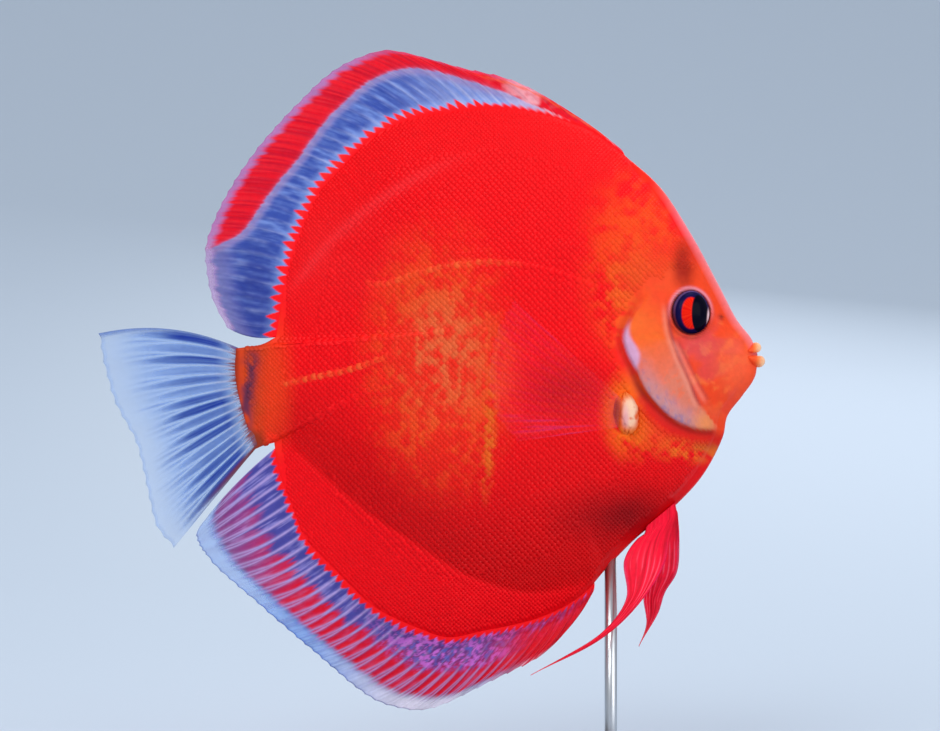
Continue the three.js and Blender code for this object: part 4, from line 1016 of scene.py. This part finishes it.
def make_dorsal_fin(membrane):
    fin = Fin(edge_line(BACK_LINE, DORSAL_GUIDES[0][0], DORSAL_REAR), Line(DORSAL_MARGIN),
              rays=42, per_ray=12, rows=60, bow=lambda u: mix(*DORSAL_BOW, ramp(0.85, 1, u)),
              scallop=lambda u: mix(1.1, 0.3, ramp(0.25, 0.35, u)) * ramp(0, 0.12, u),
              bend=lambda u, s: 1.2 * s * s * np.sin(5 * u) + 0.22 * s * np.sin(u * 88),
              seed=1, sink=0.9, guides=DORSAL_GUIDES)
    half = fin_half(fin, root=1.12, root_reach=5, ridge=0.2)
    fin.build("dorsal_fin", membrane, half, *dorsal_colours(fin), "fin")


def make_anal_fin(membrane):
    fin = Fin(edge_line(BELLY_LINE[::-1], ANAL_GUIDES[0][0], ANAL_REAR), Line(ANAL_MARGIN),
              rays=40, per_ray=12, rows=60, bow=lambda u: mix(*ANAL_BOW, ramp(0.8, 1, u)),
              scallop=lambda u: mix(1.3, 0.3, ramp(0.18, 0.26, u)) * ramp(0, 0.1, u),
              bend=lambda u, s: -2.2 * s * s * ramp(0.45, 1, u) + 0.22 * s * np.sin(u * 84),
              seed=2, sink=0.9, guides=ANAL_GUIDES)
    half = fin_half(fin, root=1.12, root_reach=5, ridge=0.22)
    fin.build("anal_fin", membrane, half, *anal_colours(fin), "fin")


def make_tail_fin(membrane):
    fin = Fin(edge_line(TAIL_BASE_LINE, TAIL_FIN_TOP, TAIL_FIN_LOW), Line(CAUDAL_MARGIN),
              rays=17, per_ray=24, rows=60, bow=lambda u: -0.17 * (1 - u) ** 3, scallop=lambda u: 0.4,
              bend=lambda u, s: 7 * np.maximum(s, 0) ** 1.5 * (0.35 + 0.65 * u) + 0.3 * s * np.sin(u * 40),
              seed=3, sink=1.2)
    half = fin_half(fin, root=1.8, root_reach=6, ridge=0.2, split=0.22)
    fin.build("caudal_fin", membrane, half, *caudal_colours(fin), "fin")


def make_pectoral_fin(out, membrane, side, name):
    fan = Fin(Line(PECTORAL_ROOT), Line(PECTORAL_MARGIN),
              rays=11, per_ray=12, rows=44, bow=lambda u: 0, scallop=lambda u: 0.6,
              bend=lambda u, s: side * (out + 1.0 + PECTORAL_SPREAD * s**1.2), seed=4)
    lobes = ray_lobes(fan.phase, fan.t, 0.2)
    run = streaks(fan, 3, 3, 110)
    tint = Tint((255, 90, 110), fan.x)
    tint.add((196, 0, 104), 0.95 * lobes)
    top = ramp(0.1, 0, fan.u) * ramp(0.5, 0.7, fan.s)
    low = ramp(0.72, 0.8, fan.u) * ramp(0.15, 0.4, fan.s) * ramp(1, 0.8, fan.s)
    alpha = 0.02 + 0.05 * lobes * run + 0.24 * np.maximum(0.6 * top, low) * lobes * ramp(0.3, 0.6, run)
    alpha = alpha + 0.12 * ramp(0.12, 0, fan.s)
    half = fin_half(fan, root=0.7, root_reach=4, ridge=0.16, split=0.2, membrane=0.12)
    fan.build(f"pectoral_fin_{name}", membrane, half, tint, alpha, "clear_fin")


def make_pectoral_pad(out, flesh, side, name):
    """The pale folded cushion that the pectoral fin stands on."""
    x, z = PAD_PLACE
    lon, lat = ball_grid(72, 0.04, np.pi - 0.04, 48)
    across = np.cos(lon) + 0.12 * np.sin(5 * lat)
    fold = 1 - 0.16 * bell(across + 0.45, 0.14) - 0.12 * bell(across - 0.3, 0.12)
    fold = fold + 0.2 * (rough_noise(3 * np.cos(lon) + 9, 4 * lat, 1.3, 118) - 0.5)
    px = x + PAD_SIZE[0] * np.sin(lat) * np.cos(lon) * fold - 0.4 * np.cos(lat)
    py = side * (out + PAD_SIZE[1] * np.sin(lat) * np.sin(lon) * fold - 0.5)
    pz = z + PAD_SIZE[2] * np.cos(lat) * fold
    tone = rough_noise(px, pz, 1.4, 120)
    tint = Tint((230, 88, 30), px)
    pale = patch(px, pz, (x + 0.9, z + 0.4), (1.7, 4.2), 0.5)
    tint.add((248, 214, 180), 0.8 * pale * ramp(0.25, 0.55, tone))
    tint.add((226, 150, 160), 0.7 * patch(px, pz, (x - 0.2, z - 1), (0.7, 2.4), 0.8))
    # Painted shade in brown on the cushion's rear side.
    tint.add((110, 40, 16), 0.8 * patch(px, pz, (x - 2.4, z + 0.4), (1, 3.4), 0.8))
    tint.add((238, 112, 30), 0.8 * ramp(2.6, 4.4, np.abs(pz - z)))
    make_piece(f"pectoral_pad_{name}", np.stack([px, py, pz], -1).reshape(-1, 3),
               ring_faces(*lon.shape, flip=True), flesh, tint.rows())


def make_pelvic_fin(edges, side, name, membrane):
    front, rear = Line(edges["front"]), Line(edges["rear"])
    rays, per_ray, rows = 7, 8, 110
    v = np.linspace(0, 1, rays * per_ray + 1)[:, None]
    t = np.linspace(0, 1, rows)[None, :]
    f, r = front.at(t[0]), rear.at(t[0])
    taper = mix(1, 0.2, ramp(0.72, 1, t))
    share = 0.5 + (v - 0.5) * taper + 0.012 * np.sin(9 * t + 5 * v)
    x = f[:, 0] + (r[:, 0] - f[:, 0]) * share
    z = f[:, 1] + (r[:, 1] - f[:, 1]) * share
    sunk = 1.4 * ramp(0.04, 0, t) / np.hypot(x - HUB[0], z - HUB[1])
    x, z = x - (x - HUB[0]) * sunk, z - (z - HUB[1]) * sunk
    y = side * (1.6 + 4.6 * ramp(0, 0.6, t))
    y = y + 0.5 * np.sin(7 * v + 3 * t) * ramp(0, 0.3, t) * (1 - t)
    away = np.minimum(v * rays % 1, 1 - v * rays % 1)
    half = mix(0.8, 0.17, ramp(0, 0.2, t)) + 0.09 * bell(away, 0.2) * (1 - ramp(0.6, 1, t))
    run = rough_noise(v * rays * 2 + 0 * t, t * 6 + 0 * v, 1, 130)
    tint = Tint((252, 2, 48), x)
    tint.add((176, 0, 24), 0.55 * ramp(0.45, 0.7, run))
    tint.add((255, 120, 150), 0.5 * bell(away, 0.12) * ramp(0.55, 0.35, run) * ramp(0.1, 0.3, t))
    rim = ramp(0.12, 0, np.minimum(v, 1 - v)) * ramp(0.1, 0.3, t)
    tint.add((236, 8, 92), 0.75 * rim)
    rows = tint.rows(1.0 - 0.3 * rim - 0.25 * ramp(0.6, 1, t))
    places, faces = closed_sheet(x, y, z, half)
    make_piece(f"pelvic_fin_{name}_skin", places, faces, membrane, np.tile(rows, (2, 1)),
               [f"pelvic_fin_{name}"])


# Head pieces
def eye_colours(p, q):
    """Colours of the eye from the front: p runs forward and q up, in millimetres."""
    radius = np.hypot(p / EYE_SIZE[0], q / EYE_SIZE[2])
    turn = np.arctan2(q, p)
    # The navy over the iris is partly its own dark outer ring and partly painted shade from the socket's
    # overhang with a painted reflection of blue.
    tint = Tint((20, 16, 66), p)
    iris = np.hypot((p + 0.9) / 2.55, (q + 0.1) / 3.75)
    fibres = 0.5 + 0.5 * np.sin(turn * 60 + 3 * np.sin(turn * 7))
    crescent = ramp(1.06, 0.94, iris)
    tint.add((226, 8, 8), crescent)
    tint.add((255, 60, 20), 0.5 * crescent * fibres)
    pupil = np.hypot((p - 1.1) / 2.3, (q + 0.1) / 4.25)
    tint.add((6, 5, 22), ramp(1.05, 0.97, pupil))
    top = ramp(-0.4, 0.7, np.sin(turn))
    rim = ramp(0.92, 0.98, radius)
    tint.add(mix(rgb(150, 60, 70), rgb(150, 120, 190), top[..., None]), 0.85 * rim)
    tint.add((246, 204, 206), 0.95 * patch(p, q, (3.9, -0.9), (0.6, 1.6), 0.6))
    return tint


def make_eye(skin, material, side, name):
    lon, lat = ball_grid(96, 0.02, np.pi * 0.62, 60)
    p = EYE_SIZE[0] * np.sin(lat) * np.cos(lon)
    q = EYE_SIZE[2] * np.sin(lat) * np.sin(lon)
    out = EYE_SIZE[1] * np.cos(lat)
    ex, ez = EYE_PLACE
    y = float(skin.sample(skin.plain, ex, ez)) - EYE_SUNK
    forward, sideways = math.sin(EYE_FORWARD), math.cos(EYE_FORWARD)
    depth = side * (y + out * sideways - p * forward)
    ball = np.stack([ex + p * sideways + out * forward, depth, ez + q], -1)
    front = [ex + EYE_SIZE[1] * forward, side * (y + EYE_SIZE[1] * sideways), ez]
    back = [ex - 1, side * (y - 2.4), ez]
    places = np.concatenate([ball.reshape(-1, 3), [front, back]])
    poles = with_alpha(np.tile(rgb(6, 5, 22), (2, 1)))
    make_piece(f"eye_{name}_ball", places, ring_faces(*lon.shape, "poles", flip=side > 0), material,
               np.concatenate([eye_colours(p, q).rows(), poles]), [f"eye_{name}"])


def make_lip(lip, name, material, hang):
    """A fleshy lip swept round the front of the mouth, with a soft crease where it turns in."""
    corner, side, middle = [np.array(point, float) for point in lip["path"]]
    flip = np.array([1, -1, 1])
    path = Line([corner * flip, side * flip, middle, side, corner])
    steps, sides = 96, 40
    u = np.linspace(0, 1, steps)
    centre = path.at(u)
    outward = np.cross(path.tangent(u), [0, 0, 1])
    outward /= np.linalg.norm(outward, axis=1, keepdims=True)
    radius = mix(LIP_CORNER_RADIUS, lip["radius"], np.sin(np.pi * u) ** 0.7)
    radius = radius * np.minimum(1, 6 * np.minimum(u, 1 - u) + 0.12) ** 0.5
    turn = np.linspace(0, 2 * np.pi, sides, endpoint=False)
    crease = 1 - 0.1 * bell(np.angle(np.exp(1j * (turn - hang))), 0.5)
    wrinkle = 1 + 0.03 * np.sin(u * 110)[:, None] * np.cos(turn)[None, :] + 0.02 * np.sin(u * 37 + 1)[:, None]
    ring = radius[:, None] * crease[None, :] * wrinkle
    places = centre[:, None, :] + (ring * np.cos(turn))[..., None] * outward[:, None, :]
    places = places + (ring * np.sin(turn))[..., None] * np.array([0, 0, 1])
    places = np.concatenate([places.reshape(-1, 3), centre[[0, -1]]])
    tone = rough_noise(places[:, 1], places[:, 2], 1, 140)
    front = ramp(middle[0] - 1.6, middle[0] + lip["radius"] - 0.1, places[:, 0])
    tint = Tint((246, 84, 36), front)
    tint.add((250, 128, 64), ramp(0, 0.4, front))
    tint.add((255, 210, 164), 0.9 * ramp(0.3, 1, front) * (0.55 + 0.5 * tone))
    faces = ring_faces(steps, sides, "poles")
    make_piece(f"{name}_flesh", places, faces, material, tint.rows(), [name])


# Stand
def make_base(material):
    """A rounded plate with a softened top and bottom edge."""
    turns = np.linspace(0, math.pi / 2, 8)
    inset, rise = BASE_BEVEL * (1 - np.sin(turns)), BASE_BEVEL * (1 - np.cos(turns))
    profile = [*zip(inset, rise), *zip(rise, BASE_HEIGHT - inset)]
    places = []
    for shrink, height in profile:
        radius = BASE_CORNER - shrink
        for quarter, (sx, sy) in enumerate(((1, 1), (-1, 1), (-1, -1), (1, -1))):
            for a in np.linspace(0, math.pi / 2, 14) + quarter * math.pi / 2:
                x = sx * (BASE_LENGTH / 2 - BASE_CORNER) + radius * math.cos(a)
                y = sy * (BASE_WIDTH / 2 - BASE_CORNER) + radius * math.sin(a)
                places.append((x, y, height - CENTRE_HEIGHT))
    faces = ring_faces(len(profile), len(places) // len(profile), "flat")
    base = make_piece("stand_base_plate", np.array(places), faces, material, None, ["stand_base"])
    for polygon in base.data.polygons[-2:]:
        polygon.use_smooth = False


def make_turned(node, profile, material, segments=64):
    """A turned piece round the rod's axis from (radius, height) rows, closed flat at both ends."""
    turn = np.linspace(0, 2 * np.pi, segments, endpoint=False)
    places = [(ROD_X + r * math.cos(a), r * math.sin(a), z - CENTRE_HEIGHT) for r, z in profile for a in turn]
    faces = ring_faces(len(profile), segments, "flat")
    make_piece(f"{node}_turned", np.array(places), faces, material, None, [node])


def make_stand():
    make_base(wood_material())
    steel = steel_material()
    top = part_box("stand_rod")[1].z / MM + ROD_IN_BELLY
    low = BASE_HEIGHT - ROD_IN_BASE
    make_turned("stand_rod", [(ROD_RADIUS * 0.9, low), (ROD_RADIUS, low + 0.3), (ROD_RADIUS, top)], steel)
    make_turned("stand_collar", [(radius, BASE_HEIGHT + rise) for radius, rise in COLLAR_PROFILE], steel)


make_camera()
make_stage()
light_scene()
skin = Skin()
hide = tinted_material("discus_skin", roughness=0.46, specular=0.12, coat=0.02,
                       grain=0.05, bump_scale=1500, bump_height=0.00006)
membrane = tinted_material("fin_membrane", roughness=0.42, specular=0.16, coat=0,
                           grain=0.07, bump_scale=1800, bump_height=0.00005, alpha=True)
wet_eye = tinted_material("wet_eye", roughness=0.22, specular=0.02, coat=0.04,
                          grain=0.03, bump_scale=300, bump_height=0.000002)
make_skin(skin, hide)
for side, name in ((-1, "right"), (1, "left")):
    for zone, (pitch, low, high) in SCALE_PATCHES.items():
        make_scales(skin, hide, side, f"scales_{zone}_{name}", pitch, low, high)
    make_eye(skin, wet_eye, side, name)
    pad_out = float(skin.half_at(*PAD_PLACE)) + PAD_OUT
    make_pectoral_fin(pad_out, membrane, side, name)
    make_pectoral_pad(pad_out, hide, side, name)
make_dorsal_fin(membrane)
make_anal_fin(membrane)
make_tail_fin(membrane)
make_pelvic_fin(NEAR_PELVIC, -1, "right", membrane)
make_pelvic_fin(FAR_PELVIC, 1, "left", membrane)
make_lip(UPPER_LIP, "upper_lip", hide, -math.pi / 2)
make_lip(LOWER_LIP, "lower_lip", hide, math.pi / 2)
make_stand()
